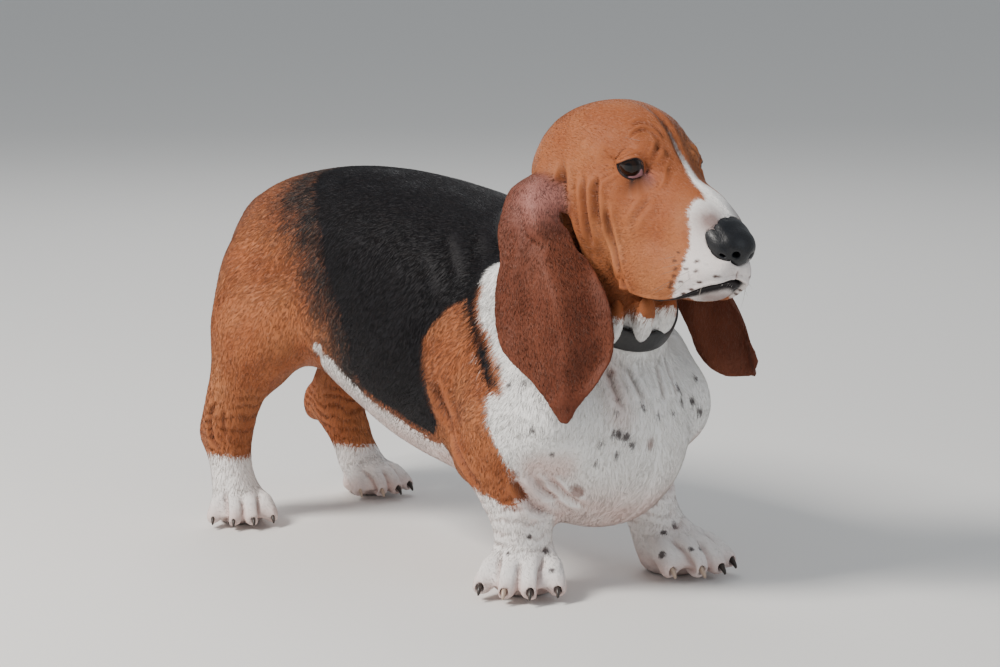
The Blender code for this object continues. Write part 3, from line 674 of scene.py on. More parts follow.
def makeSkin():
    parts = [freeCopy(name, "flesh_" + name) for name in fleshNodes]
    parts += [freeCopy("eye_" + sideName, "flesh_eye") for sideName in sides]
    parts += [addSoftForm(name, plan) for name, plan in softForms.items()]
    skin = joined(parts, "skin")
    applyModifier(skin, "REMESH", mode="VOXEL", voxel_size=skinPlan["voxel"], adaptivity=0)
    print("skin remeshed", len(skin.data.vertices))
    smoothSkin(skin)
    surface = surfaceOf(skin)
    refineFace(skin, surface)
    sculptSkin(skin, surface)
    skin.data.validate()
    triangles = sum(len(p.vertices) - 2 for p in skin.data.polygons)
    share = min(1, skinPlan["triangles"] / triangles)
    applyModifier(skin, "DECIMATE", ratio=share, vertex_group="thinned")
    applyModifier(skin, "TRIANGULATE")
    skin.vertex_groups.clear()
    skin.data.shade_smooth()
    print("skin finished", triangles, len(skin.data.polygons))
    return skin


skin = makeSkin()
skinPoints, skinNormals, skinEdges = pointsOf(skin), normalsOf(skin), edgesOf(skin)
skinFaces, skinOwners = trianglesOf(skin), nearestNode(skinPoints)
skinSurface = surfaceOf(skin)


def ownerShare(names):
    return relaxed(np.isin(skinOwners, names).astype(float), skinEdges, 0.6, 8)


# Markings, as measures in metres that are over 0 inside each patch; places in the layout, in millimetres

saddleOutline = inMetres([(-420, 430), (-379, 363), (-341, 343), (-316, 317), (-291, 282), (-269, 252),
                          (-251, 221), (-252, 195), (-237, 166), (-189, 146), (-154, 108), (-112, 100),
                          (-118, 173), (-127, 213), (-125, 237), (-102, 264), (-82, 276), (-72, 262),
                          (-58, 230), (-28, 201), (-13, 202), (-25, 219), (-43, 240), (-57, 260),
                          (-65, 280), (-59, 306), (-37, 335), (-5, 360), (-5, 430)])
rumpOutline = inMetres([(-625, 450), (-415, 430)]) + saddleOutline[1:8]
rumpOutline += inMetres([(-229, 158), (-257, 168), (-291, 190), (-323, 203), (-345, 200), (-400, 180),
                         (-625, 180)])
shoulderOutline = saddleOutline[13:20] + inMetres([(-23, 192), (-21, 172), (-11, 150), (-4, 126), (1, 100),
    (-11, 86), (-37, 96), (-85, 100), (-119, 112), (-117, 173)])
blazeHalf = {"along": [-0.060, -0.013, 0.000, 0.011, 0.022, 0.032, 0.045, 0.055, 0.070, 0.085],
             "half": [-0.004, -0.0004, 0.0012, 0.0018, 0.0030, 0.0052, 0.0085, 0.0120, 0.0180, 0.0240]}
muzzleEdge = {"height": [-0.110, -0.069, -0.047, -0.036, -0.023, -0.011, -0.002, 0.006],
              "along": [0.093, 0.090, 0.087, 0.083, 0.079, 0.069, 0.056, 0.052]}
# Spots on the white: place and radius
chestSpots = inMetres([(-23, -116, 222, 3), (-5, -118, 207, 3), (8, -111, 210, 3), (55, 46, 192, 6),
                       (61, 46, 179, 4.2), (51, 69, 177, 4.2), (52, 79, 165, 5), (71, 25, 173, 3.4),
                       (74, 1, 173, 2.8), (70, -15, 184, 2.4), (66, -45, 161, 5.6), (69, -36, 158, 4.6),
                       (58, -57, 152, 3.6), (72, -30, 149, 3.8), (66, -45, 141, 3.2), (54, -60, 133, 2.6),
                       (36, -100, 143, 2.6), (12, -120, 175, 2.8), (25, -116, 167, 2.6),
                       (62, -42, 180, 2.6), (53, 84, 205, 4), (-2, -93, 59, 2.6), (3, -77, 44, 3),
                       (22, -87, 31, 3), (-17, -108, 43, 2.2), (52, 67, 34, 3), (20, 77, 50, 3.6),
                       (55, 78, 32, 2.8), (17, 65, 43, 3), (35, 44, 28, 4)])
brownSpots = inMetres([(76, -9, 149, 5), (32, -64, 104, 8), (47, -34, 215, 4.4), (58, -40, 192, 3),
                       (-4, -114, 120, 5)])
whiskerDots = inMetres([(72, -34.6), (74, -42.4), (81.5, -37.6), (91.9, -31.6), (80, -47.4), (88.6, -42.1),
                        (96.9, -38.7), (82.2, -53.5), (83.1, -59.9), (90, -54.3), (103.2, -46.7),
                        (111.3, -35.7), (82.9, -64.6), (95.6, -63.7), (100.1, -56.4)])

markPlan = {
    "nowhere": -0.05,  # the measure where a marking can't be
    "sock": {"left": 0.052, "right": 0.071},  # tops of the white hind feet
    "tailEnd": 0.135,
    "throat": 0.270,
    "armpit": (0.004, 0.098, 0.108),
    "breast": [(0.040, -0.034, 0.226), (0.066, -0.037, 0.176)],
    "tailRoot": (-0.470, 0.0, 0.350),
}


def only(there, measure):
    return np.where(there, measure, markPlan["nowhere"])


def haze(points, place, reach):  # 1 at a place, fading over its reach
    return np.exp(-np.linalg.norm((points - np.array(place)) / np.array(reach), axis=1) ** 2)


def spotMeasure(points, spots):
    best = np.full(len(points), -0.02)
    seats = seated(fromLayout([spot[:3] for spot in spots]), skinSurface)
    for seat, size in zip(seats, [spot[3] for spot in spots]):
        far = np.linalg.norm(points - seat, axis=1)
        best = np.maximum(best, size + 0.0012 - far)
    return best


def bodyMarks(layout, under, inward, onHind):  # black, tan, and the dark tips between them
    flat, across = layout[:, [0, 2]], np.abs(layout[:, 1])
    x, z = layout[:, 0], layout[:, 2]
    onBody = np.isin(skinOwners, ["torso", "neck"] + forelegs)
    onTail = skinOwners == "tail"
    saddle = insideOutline(flat, saddleOutline)
    black = only(~onHind, saddle) - 0.05 * under
    rump = only(~onHind, insideOutline(flat, rumpOutline)) - 0.05 * under * (x > -0.42)
    shoulder = only(onBody, insideOutline(flat, shoulderOutline) - 0.05 * inward * (z < 0.19))
    sock = np.where(layout[:, 1] < 0, markPlan["sock"]["right"], markPlan["sock"]["left"])
    hind = only(onHind, z - sock) - 0.06 * inward * ease(z, 0.105, 0.135)
    tan = np.maximum.reduce([rump, shoulder, hind, only(onTail, z - markPlan["tailEnd"])])
    tan = np.maximum(tan, np.minimum(tan + 0.030, black + 0.006))  # no white between tan and black
    tan = np.maximum(tan, only(x < -0.07, np.minimum(tan + 0.040, black + 0.016)))
    tailRoot = 0.016 - np.linalg.norm(layout - np.array(markPlan["tailRoot"]), axis=1)
    tailTop = only(onTail, 0.012 - (across + 0.6 * np.maximum(0.325 - z, 0)))
    tailBlack = only(x < -0.44, np.maximum(tailRoot, tailTop))
    tipped = (1 - ease(-saddle, 0.0, 0.105)) * (x < -0.24) * ~onHind
    tipped = np.maximum(tipped, 0.5 * (1 - ease(-saddle, 0.0, 0.016)) * onBody * (x < -0.05))
    return black, tan, tipped, tailBlack


def headTan(head, layout, headShare):  # the tan of head and throat, less the blaze and the muzzle
    across = np.abs(layout[:, 1])
    throat = layout[:, 2] - markPlan["throat"] - 0.25 * np.maximum(0.034 - across, 0)
    throat = only((layout[:, 0] > 0.0) & (across < 0.085), throat)
    tan = only(headShare > 0.02, 0.02 * (2 * headShare - 1) + 0.008)
    tan = np.maximum(tan, only(skinOwners == "neck", np.minimum(throat, 0.01)))
    edge = np.interp(head[:, 2], muzzleEdge["height"], muzzleEdge["along"])
    front = np.where(head[:, 2] < 0.010, head[:, 0] - edge, -0.02)
    blaze = np.interp(head[:, 0], blazeHalf["along"], blazeHalf["half"]) - np.abs(head[:, 1])
    blaze = np.where(head[:, 2] > -0.03, blaze, -0.02)
    return np.minimum(tan, -only(headShare > 0.3, np.maximum(blaze, front)))


def pinkShare(head, layout, under, inward, onHind, headShare):  # where the skin shows through white
    x, z = layout[:, 0], layout[:, 2]
    belly = under * 0.85 * (x > -0.46) + 0.55 * inward * onHind * (z > 0.09)
    armpitX, armpitY, armpitZ = markPlan["armpit"]
    armpits = [0.75 * haze(layout, (armpitX, side * armpitY, armpitZ), 0.022) for side in (-1, 1)]
    breast = 0.60 * swell(pathDistance(layout, np.array(markPlan["breast"]))[0], 0, 0.012)
    toes = 0.75 * (1 - ease(z, 0.012, 0.030)) + 0.18 * (1 - ease(z, 0.10, 0.14))
    muzzle = 0.42 * ease(head[:, 0], 0.04, 0.08) * (head[:, 2] < 0.0) * (headShare > 0.5)
    return np.clip(belly + armpits[0] + armpits[1] + breast + toes + muzzle, 0, 1)


def dotShare(head):  # short dark dashes where the whiskers grow
    best = np.full(len(head), 1.0)
    for dotX, dotZ in whiskerDots:
        along = (head[:, 0] - dotX) * 0.8 + (head[:, 2] - dotZ) * 0.6
        athwart = -(head[:, 0] - dotX) * 0.6 + (head[:, 2] - dotZ) * 0.8
        best = np.minimum(best, np.hypot(along / 1.9, athwart))
    return 1 - ease(best, 0.0008, 0.0017)


def muzzleShadeShare(head, headShare):  # painted shade, grey-brown, behind the nose's wings and on the chin
    folded = np.stack([head[:, 0], np.abs(head[:, 1]), head[:, 2]], axis=1)
    wings = haze(folded, (0.077, 0.020, 0.002), (0.019, 0.013, 0.014)) * (headShare > 0.5)
    chin = ease(-head[:, 2], 0.046, 0.060) * ease(head[:, 0], 0.085, 0.105)
    chin = relaxed(chin * (skinOwners == "lower_jaw"), skinEdges, 0.5, 4)
    return np.maximum(wings, 0.75 * chin)


def tearShare(points):  # the mauve skin at the inner corners of the eyes
    share = np.zeros(len(points))
    for sideName in sides:
        onBall, reach = onEye(points, sideName)[:2]
        share = np.maximum(share, haze(onBall, (0.0168, -0.0040), (0.0042, 0.00525)) * (reach < 0.03))
    return share


def markings(points, normals, earShare, headShare):
    layout, head = points - layoutShift, toHead(points)
    onHind = np.isin(skinOwners, hindlegs)
    under = ease(-normals[:, 2], 0.30, 0.70) * (1 - ease(layout[:, 2], 0.16, 0.22))
    inward = ease(-normals[:, 1] * np.sign(layout[:, 1]), 0.10, 0.55)
    black, tan, tipped, tailBlack = bodyMarks(layout, under, inward, onHind)
    tan = np.maximum(tan, headTan(head, layout, headShare))
    black = np.maximum(only(headShare <= 0.5, black), tailBlack)
    calm = 1 - (0.72 - 0.35 * ease(head[:, 0], 0.03, 0.06)) * np.maximum(headShare, earShare)
    return {"black": black, "tan": tan, "ear": earShare, "spots": spotMeasure(points, chestSpots),
            "brown": spotMeasure(points, brownSpots), "tipped": tipped,
            "pink": pinkShare(head, layout, under, inward, onHind, headShare),
            "dots": dotShare(head) * (headShare > 0.5) * (earShare < 0.5),
            "smoke": muzzleShadeShare(head, headShare),
            "sheen": haze(head[:, [0, 2]], (-0.076, -0.066), (0.026, 0.024)) * earShare,
            "calm": calm, "tear": tearShare(points)}


# Numbers on nodes written as sums: Value wraps a socket

class Value:
    tree = None

    def __init__(self, socket):
        self.socket = socket

    @staticmethod
    def node(kind, settings=None, **inputs):
        made = Value.tree.nodes.new(kind)
        for key, value in (settings or {}).items():
            setattr(made, key, value)
        for key, value in inputs.items():
            socket = made.inputs[int(key[1:])] if key[0] == "i" and key[1:].isdigit() else made.inputs[key]
            if isinstance(value, Value):
                Value.tree.links.new(value.socket, socket)
            else:
                socket.default_value = value
        return made

    @staticmethod
    def maths(operation, *terms):
        inputs = {f"i{n}": term for n, term in enumerate(terms)}
        return Value(Value.node("ShaderNodeMath", {"operation": operation}, **inputs).outputs[0])

    def __add__(self, other):
        return Value.maths("ADD", self, other)

    def __radd__(self, other):
        return Value.maths("ADD", other, self)

    def __sub__(self, other):
        return Value.maths("SUBTRACT", self, other)

    def __rsub__(self, other):
        return Value.maths("SUBTRACT", other, self)

    def __mul__(self, other):
        return Value.maths("MULTIPLY", self, other)

    def __rmul__(self, other):
        return Value.maths("MULTIPLY", other, self)

    def __truediv__(self, other):
        return Value.maths("DIVIDE", self, other)

    def held(self):  # kept within 0 and 1
        return Value(Value.node("ShaderNodeClamp", Value=self).outputs[0])


def attribute(name, output="Fac"):
    return Value(Value.node("ShaderNodeAttribute", {"attribute_name": name}).outputs[output])


def objectPlace():
    return Value(Value.node("ShaderNodeTexCoord").outputs["Object"])


def noise(where, scale, detail=3.0, rough=0.5):
    made = Value.node("ShaderNodeTexNoise", Vector=where, Scale=scale, Detail=detail, Roughness=rough)
    return Value(made.outputs[0])


def mixed(share, first, second):
    made = Value.node("ShaderNodeMix", {"data_type": "RGBA"}, i0=share)
    for slot, colour in ((6, first), (7, second)):
        if isinstance(colour, Value):
            Value.tree.links.new(colour.socket, made.inputs[slot])
        else:
            made.inputs[slot].default_value = (*colour, 1)
    return Value(made.outputs[2])


def newMaterial(name, roughness):
    made = bpy.data.materials.new(name)
    made.use_nodes = True
    Value.tree = made.node_tree
    shader = made.node_tree.nodes["Principled BSDF"]
    shader.inputs["Roughness"].default_value = roughness
    return made, shader


def feed(shader, name, value):
    Value.tree.links.new(value.socket, shader.inputs[name])


def feedBump(shader, height, strength, distance):
    bump = Value.node("ShaderNodeBump", Strength=strength, Distance=distance, Height=height)
    Value.tree.links.new(bump.outputs[0], shader.inputs["Normal"])


coatColours = {
    "tan": (0.380, 0.124, 0.046),
    "tanDeep": (0.270, 0.074, 0.025),
    "tanPale": (0.520, 0.220, 0.092),
    "ear": (0.120, 0.030, 0.014),
    "earPale": (0.215, 0.066, 0.034),
    "earSheen": (0.430, 0.190, 0.165),
    "black": (0.0045, 0.0045, 0.0065),
    "white": (0.900, 0.885, 0.865),
    "grey": (0.060, 0.048, 0.050),
    "pink": (0.600, 0.330, 0.275),
    "brownSpot": (0.240, 0.110, 0.085),
    # painted shade in creases: dark brown on tan and black; on white a darker pink, partly the skin
    # showing through the thinner hair
    "crease": (0.110, 0.034, 0.020),
    "creasePinkShade": (0.420, 0.190, 0.150),
    # grey-brown painted shade of the muzzle
    "dot": (0.050, 0.018, 0.012),
    "smoke": (0.160, 0.080, 0.070),
    # near-black of the lips and lid rims, also painted as shade into the ears' creases
    "lip": (0.014, 0.011, 0.012),
    "tear": (0.300, 0.150, 0.165),
    "shaded": (0.052, 0.026, 0.018),
}


def layered(share, paint, name):
    return mixed(share, paint, coatColours[name])


def coatColour():  # the markings, read at each tuft's root, so skin and coat agree
    where = attribute("rootAt", "Vector")
    calm = attribute("calm")
    broad = noise(where, 38.0, 3.0)
    fine = noise(where, 420.0, 2.0)
    ragged = (broad - 0.5) * 0.012 + (fine - 0.5) * 0.014
    paint = layered((0.5 + (broad - 0.5) * 2.0 * calm).held(), coatColours["tanDeep"], "tan")
    paint = layered(((noise(where, 17.0, 2.0) - 0.42) * 3.0).held() * 0.45, paint, "tanPale")
    tipped = attribute("tipped")
    paint = layered((tipped * tipped * 0.62).held(), paint, "shaded")
    dark = ((fine - 0.5) * 3.2 + (broad - 0.5) * 1.6 + tipped * 1.7 - 0.75).held()
    paint = layered(dark * (tipped * 1.6).held(), paint, "black")
    tan = ((attribute("tan") + ragged * calm) / 0.0035).held()
    snow = layered(((noise(where, 150.0, 3.0) - 0.64) * 7.0).held() * 0.22, coatColours["white"], "grey")
    snow = layered((attribute("pink") * (0.35 + broad)).held() * 0.62, snow, "pink")
    snow = layered(((attribute("brown") + ragged * 0.5) / 0.0040).held() * 0.75, snow, "brownSpot")
    snow = layered(((attribute("spots") + ragged * 0.35) / 0.0022).held() * 0.92, snow, "grey")
    # painted shade in the creases of folds, rolls and toe gaps
    crease = attribute("crease").held()
    paint = layered(crease * 0.80, paint, "crease")
    snow = layered(crease * 0.42, snow, "creasePinkShade")
    paint = mixed(tan, snow, paint)
    # painted shade behind the nose's wings and on the chin
    paint = layered((attribute("smoke") * (0.55 + broad)).held() * 0.85, paint, "smoke")
    paint = layered(attribute("dots") * 0.95, paint, "dot")
    paint = layered(attribute("tear") * 0.92, paint, "tear")
    paint = layered(((attribute("black") + ragged * 0.7) / 0.0035).held(), paint, "black")
    leather = layered(((noise(where, 16.0, 2.0) - 0.35) * 1.8).held(), coatColours["ear"], "earPale")
    leather = layered(attribute("sheen") * 0.75, leather, "earSheen")
    # painted shade in the creases of the ears
    leather = layered(crease * 0.5, leather, "lip")
    paint = mixed((attribute("ear") * 1.25).held(), paint, leather)
    return paint, where, (attribute("black") / 0.004 + 0.5).held(), tan


def skinMaterial():
    made, shader = newMaterial("shortHairedSkin", 0.60)
    paint, where = coatColour()[:2]
    hairs = noise(where, 900.0, 2.0, 0.6)
    paint = mixed(((hairs - 0.35) * 1.6).held() * 0.22, paint, (0.03, 0.015, 0.012))
    paint = layered(attribute("rim") * (1 - attribute("tear") * 0.8), paint, "lip")
    feed(shader, "Base Color", paint)
    feedBump(shader, hairs, 0.30, 0.0005)
    shader.inputs["Specular IOR Level"].default_value = 0.18
    return made


def coatMaterial():
    made, shader = newMaterial("shortCoat", 0.50)
    paint, _, dark, tan = coatColour()
    shade = attribute("shade")
    paint = mixed((0.5 - shade).held() * (0.16 + tan * 0.34), paint, (0.03, 0.014, 0.010))
    paint = mixed((shade - 0.5).held() * 0.20 * (1 - dark), paint, (0.85, 0.72, 0.62))
    feed(shader, "Base Color", paint)
    shader.inputs["Specular IOR Level"].default_value = 0.22
    return made


earShare = ownerShare(ears)
headShare = ownerShare(headNodes + ears)
marks = markings(skinPoints, skinNormals, earShare, headShare)
rimShare = floatsOf(skin, "lips").astype(float)
for sideName in sides:
    outside = lidMeasure(skinPoints, sideName)[0]
    rimShare = np.maximum(rimShare, 1 - ease(outside, 0.0012, 0.0026))
for name, values in marks.items():
    putFloat(skin.data, name, values)
putFloat(skin.data, "rim", rimShare)
putVector(skin.data, "rootAt", skinPoints)
marks["crease"] = floatsOf(skin, "crease").astype(float)
skin.data.materials.append(skinMaterial())
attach(skin, "root")
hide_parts(*fleshNodes)
print("skin marked")


# An unwrap of the skin's own shape, on a coarse copy, that places each tuft's patch

def skinUnwrap():
    coarse = plainCopy(skin, "unwrap")
    applyModifier(coarse, "DECIMATE", ratio=0.05)
    applyModifier(coarse, "TRIANGULATE")
    editAll(coarse, bpy.ops.uv.smart_project, angle_limit=math.radians(60), island_margin=0.004)
    corners = readArray(coarse.data.uv_layers.active.data, "uv", 2).reshape(-1, 3, 2)
    found = pointsOf(coarse), trianglesOf(coarse), corners.astype(float)
    bpy.data.objects.remove(coarse, do_unlink=True)
    return found


unwrapPoints, unwrapFaces, unwrapPlaces = skinUnwrap()
unwrapTree = BVHTree.FromPolygons(unwrapPoints.tolist(), unwrapFaces.tolist())
print("skin unwrapped", len(unwrapFaces))


def placesOnUnwrap(points):
    hits = [unwrapTree.find_nearest(p) for p in points.tolist()]
    index = np.array([h[2] for h in hits])
    at = np.array([h[0] for h in hits])
    a, b, c = (unwrapPoints[unwrapFaces[index, n]] for n in range(3))
    whole = np.cross(b - a, c - a)
    area = np.maximum((whole * whole).sum(axis=1), 1e-18)
    v = (np.cross(at - a, c - a) * whole).sum(axis=1) / area
    w = (np.cross(b - a, at - a) * whole).sum(axis=1) / area
    share = np.clip(np.stack([1 - v - w, v, w], axis=1), 0, 1)
    return (unwrapPlaces[index] * share[:, :, None]).sum(axis=1)


# The coat: flat tapered tufts that follow the lie of the hair

coatPlan = {
    "patch": 0.0015,  # half the side of each tuft's place on the unwrap
    "sunk": 0.0004,
    "yaw": 0.17,
    "swirl": 0.20,
    "seed": 41,
    "height": 0.17,
    "lift": (0.030, 0.040),
    "faceEnd": -0.020,
    "backSlope": 0.55,
}
# Each piece: nodes it grows on, which part, how many tufts, length and width in millimetres, finish
coatPieces = {
    "coatTorsoBack": (["torso"], "back", 45000, 10.5, 0.95, "black_coat"),
    "coatTorsoRight": (["torso"], "right", 46000, 10.5, 0.95, "black_coat"),
    "coatTorsoLeft": (["torso"], "left", 40000, 10.5, 0.98, "black_coat"),
    "coatNeck": (["neck"], "all", 34000, 10.0, 0.95, "white_coat"),
    "coatFace": (headNodes, "face", 47000, 4.5, 0.52, "tan_coat"),
    "coatSkull": (headNodes, "skull", 32000, 5.6, 0.64, "tan_coat"),
    "coatEars": (ears, "all", 47000, 5.2, 0.62, "ear_coat"),
    "coatForelegs": (forelegs, "all", 36000, 6.2, 0.80, "white_coat"),
    "coatHindlegs": (hindlegs, "all", 38000, 7.6, 0.85, "tan_coat"),
    "coatTail": (["tail"], "all", 7000, 11.5, 0.95, "tan_coat"),
}


def lieOfCoat(points, headness, earness, owners):
    head, layout = toHead(points), points - layoutShift

    def everywhere(way):
        return np.tile(way, (len(points), 1))

    def blend(first, second, share):
        return first * (1 - share[:, None]) + second * share[:, None]

    side = np.sign(layout[:, 1])
    back = everywhere((-1.0, 0.0, -0.30))
    back[:, 2] -= 0.9 * ease(np.abs(layout[:, 1]), 0.04, 0.11)
    chest = ease(layout[:, 0], -0.04, 0.04) * (points[:, 2] < 0.34)
    back += chest[:, None] * np.array((0.75, 0.0, -1.3))
    back[:, 1] += chest * side * 0.35
    toes = ease(-points[:, 2], -0.05, -0.02)
    down = blend(everywhere((-0.25, 0.0, -1.0)), np.array((1.0, 0.0, -0.45)), toes)
    down = blend(down, np.array((-0.7, 0.0, -0.5)), 0.5 * ease(points[:, 2], 0.13, 0.22))
    lie = np.where(np.isin(owners, forelegs + hindlegs)[:, None], down, back)
    lie = np.where((owners == "tail")[:, None], np.array((-0.15, 0.0, -1.0)), lie)
    faceWay = everywhere((-1.0, 0.0, -0.15))
    faceWay[:, 2] -= 0.9 * ease(-head[:, 2], 0.02, 0.07) * ease(head[:, 0], -0.10, 0.02)
    faceWay[:, 1] += 0.35 * side
    lie = blend(lie, faceWay @ turnRows.T, headness)
    return blend(lie, everywhere((0.10, 0.0, -1.0)), earness)


def meshFromArrays(name, points, faces):
    mesh = bpy.data.meshes.new(name)
    mesh.vertices.add(len(points))
    mesh.vertices.foreach_set("co", points.astype(np.float32).ravel())
    mesh.loops.add(faces.size)
    mesh.loops.foreach_set("vertex_index", faces.astype(np.int32).ravel())
    mesh.polygons.add(len(faces))
    mesh.polygons.foreach_set("loop_start", np.arange(0, faces.size, 3, dtype=np.int32))
    mesh.update(calc_edges=True)
    obj = bpy.data.objects.new(name, mesh)
    bpy.context.scene.collection.objects.link(obj)
    return obj


faceOwners = skinOwners[skinFaces[:, 0]]
faceMiddles = skinPoints[skinFaces].mean(axis=1)
faceCross = np.cross(skinPoints[skinFaces[:, 1]] - skinPoints[skinFaces[:, 0]],
                     skinPoints[skinFaces[:, 2]] - skinPoints[skinFaces[:, 0]])
faceNormals = unit(faceCross)
faceAreas = 0.5 * np.linalg.norm(faceCross, axis=1)


def growthShare():  # bare on lids, lips and nose, thin on soles and in folds
    share = 1 - 0.97 * rimShare[skinFaces].max(axis=1)
    share *= 0.25 + 0.75 * ease(faceMiddles[:, 2], 0.001, 0.004)
    share *= 1 - 0.35 * marks["pink"][skinFaces[:, 0]]
    share *= 1 - 0.30 * np.clip(marks["crease"][skinFaces[:, 0]], 0, 1)
    nose = (toHead(faceMiddles) - np.array((0.100, 0, -0.010))) / np.array((0.022, 0.024, 0.019))
    return share * (np.linalg.norm(nose, axis=1) > 1)


faceGrowth = growthShare()
coatPaint = coatMaterial()


def scatter(grownOn, where, count, draw):  # the corners of a skin triangle for each root, and their shares
    weight = faceAreas * faceGrowth * np.isin(faceOwners, grownOn)
    upper = faceNormals[:, 2] > coatPlan["backSlope"]
    rightSide = faceMiddles[:, 1] < midline
    ahead = toHead(faceMiddles)[:, 0]
    onFace = ahead > coatPlan["faceEnd"]
    places = {"all": True, "back": upper, "right": ~upper & rightSide, "left": ~upper & ~rightSide,
              "face": onFace, "skull": ~onFace}
    weight = weight * places[where]
    if where == "face":
        weight = weight * (1 + 0.7 * ease(ahead, 0.02, 0.09))
    total = np.cumsum(weight)
    chosen = np.searchsorted(total, draw.random(count) * total[-1])
    chosen = np.minimum(chosen, len(weight) - 1)
    r1, r2 = np.sqrt(draw.random(count)), draw.random(count)
    return skinFaces[chosen], np.stack([1 - r1, r1 * (1 - r2), r1 * r2], axis=1)


def tuftWays(roots, normals, way, draw):  # the lie laid flat on the skin and turned a little
    turn = coatPlan["yaw"] * draw.normal(size=len(roots)) + coatPlan["swirl"] * ripple(roots, 0.045, 3)
    way = unit(way - (way * normals).sum(axis=1)[:, None] * normals)
    side = np.cross(normals, way)
    way = unit(way * np.cos(turn)[:, None] + side * np.sin(turn)[:, None])
    return way, np.cross(normals, way)


def liftedTips(tips, height):  # each tip set at its height over the nearest skin
    hits = [skinSurface.find_nearest(p) for p in tips.tolist()]
    under = np.array([tuple(h[0]) for h in hits])
    upright = np.array([tuple(h[1]) for h in hits])
    return under + upright * height[:, None]


def growCoat(name, plan, number):
    grownOn, where, count, length, width, slot = plan
    draw = np.random.default_rng(coatPlan["seed"] + number)
    corners, share = scatter(grownOn, where, count, draw)

    def at(values):
        return (values[corners] * share.reshape(share.shape + (1,) * (values.ndim - 1))).sum(axis=1)

    roots, normals = at(skinPoints), unit(at(skinNormals))
    headness = at(headShare)
    lie = lieOfCoat(roots, headness, at(earShare), skinOwners[corners[:, 0]])
    way, side = tuftWays(roots, normals, unit(lie), draw)
    short = 1 - 0.45 * headness * ease(toHead(roots)[:, 0], 0.02, 0.10)
    paws = 1 - 0.35 * ease(-roots[:, 2], -0.05, -0.02)
    long = length / 1000 * short * paws * draw.uniform(0.70, 1.25, count)
    wide = width / 1000 * (0.75 + 0.25 * short) * draw.uniform(0.75, 1.25, count)
    low, spread = coatPlan["lift"]
    tips = liftedTips(roots + way * long[:, None], long * (low + spread * draw.random(count)))
    base = roots - normals * coatPlan["sunk"]
    half = side * (wide / 2)[:, None]
    rise = coatPlan["sunk"] + wide * coatPlan["height"]
    top = base + normals * rise[:, None] + way * (long * 0.12)[:, None]
    points = np.stack([base - half, base + half, top, tips], axis=1).reshape(-1, 3)
    start = np.arange(count)[:, None, None] * 4
    faces = (np.array([(0, 2, 3), (2, 1, 3), (1, 0, 3), (0, 1, 2)])[None] + start).reshape(-1, 3)
    obj = meshFromArrays(name, points, faces)
    markTufts(obj.data, roots, (roots + tips) / 2, at, draw)
    patch = np.array([(-1, -1), (1, -1), (0, 0), (0, 1)]) * coatPlan["patch"]
    places = (placesOnUnwrap(roots)[:, None, :] + patch[None]).reshape(-1, 2)[faces.ravel()]
    layer = obj.data.uv_layers.new(name="OFBake")
    layer.data.foreach_set("uv", places.astype(np.float32).ravel())
    obj.data.materials.append(coatPaint)
    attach(obj, "root")
    print(name, len(faces))


def markTufts(mesh, roots, middles, at, draw):  # one value of each marking for all of a tuft
    atTuft = {"spots": spotMeasure(middles, chestSpots), "brown": spotMeasure(middles, brownSpots)}
    for key, values in marks.items():
        putFloat(mesh, key, np.repeat(atTuft[key] if key in atTuft else at(values), 4))
    putVector(mesh, "rootAt", np.repeat(roots, 4, axis=0))
    putFloat(mesh, "shade", np.repeat(draw.random(len(roots)), 4))


for number, (name, plan) in enumerate(coatPieces.items()):
    growCoat(name, plan, number)


# Whiskers: a few fine curved hairs from the dots of the lips and over the eyes

whiskerPlan = {"long": 0.026, "thick": 0.00022, "steps": 6, "seed": 7}
whiskerSeats = [(x, 0.040, z, 0.8) for x, z in whiskerDots[::2]]
whiskerSeats += [(0.108, 0.018, -0.052, 0.7), (-0.028, 0.030, 0.032, 0.7)]


def addWhisker(points, faces, side, seat, draw):
    x, y, z, size = seat
    steps = whiskerPlan["steps"]
    aim = Vector(fromHead([(x, side * (y + 0.01), z)])[0])
    root, normal, _, _ = skinSurface.find_nearest(aim)
    long = whiskerPlan["long"] * size * draw.uniform(0.7, 1.1)
    start = root - normal * 0.0006
    way = (normal * 0.75 + headTurn @ Vector((-0.2, side * 0.2, -0.55))).normalized()
    fall = headTurn @ Vector((-0.35, 0, -0.5)) * draw.uniform(0.5, 1.1)
    across = way.cross(Vector((0.3, 0.1, 1))).normalized()
    upright = way.cross(across)
    first = len(points)
    for step in range(steps):
        t = step / steps
        middle = start + way * (long * t) + fall * (long * 0.35 * t * t)
        thick = whiskerPlan["thick"] * (1 - 0.8 * t)
        for turn in range(3):
            angle = turn * 2 * math.pi / 3
            ring = across * (thick * math.cos(angle)) + upright * (thick * math.sin(angle))
            points.append(middle + ring)
    points.append(start + way * long + fall * (long * 0.35))
    faces.append((first, first + 2, first + 1))
    for step in range(steps - 1):
        for turn in range(3):
            a, b = first + step * 3 + turn, first + step * 3 + (turn + 1) % 3
            faces += [(a, b, b + 3), (a, b + 3, a + 3)]
    end, last = first + (steps - 1) * 3, len(points) - 1
    faces += [(end + turn, end + (turn + 1) % 3, last) for turn in range(3)]


def makeWhiskers():
    draw = np.random.default_rng(whiskerPlan["seed"])
    points, faces = [], []
    for side in sides.values():
        for seat in whiskerSeats:
            addWhisker(points, faces, side, seat, draw)
    whiskers = meshFromArrays("whiskers", np.array([tuple(p) for p in points]), np.array(faces))
    editAll(whiskers, bpy.ops.mesh.normals_make_consistent, inside=False)
    made, shader = newMaterial("whiskerHair", 0.35)
    feed(shader, "Base Color", mixed(noise(objectPlace(), 90.0), (0.10, 0.06, 0.05), (0.62, 0.56, 0.50)))
    whiskers.data.materials.append(made)
    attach(whiskers, "root")


makeWhiskers()
print("whiskers made")


# Eyes

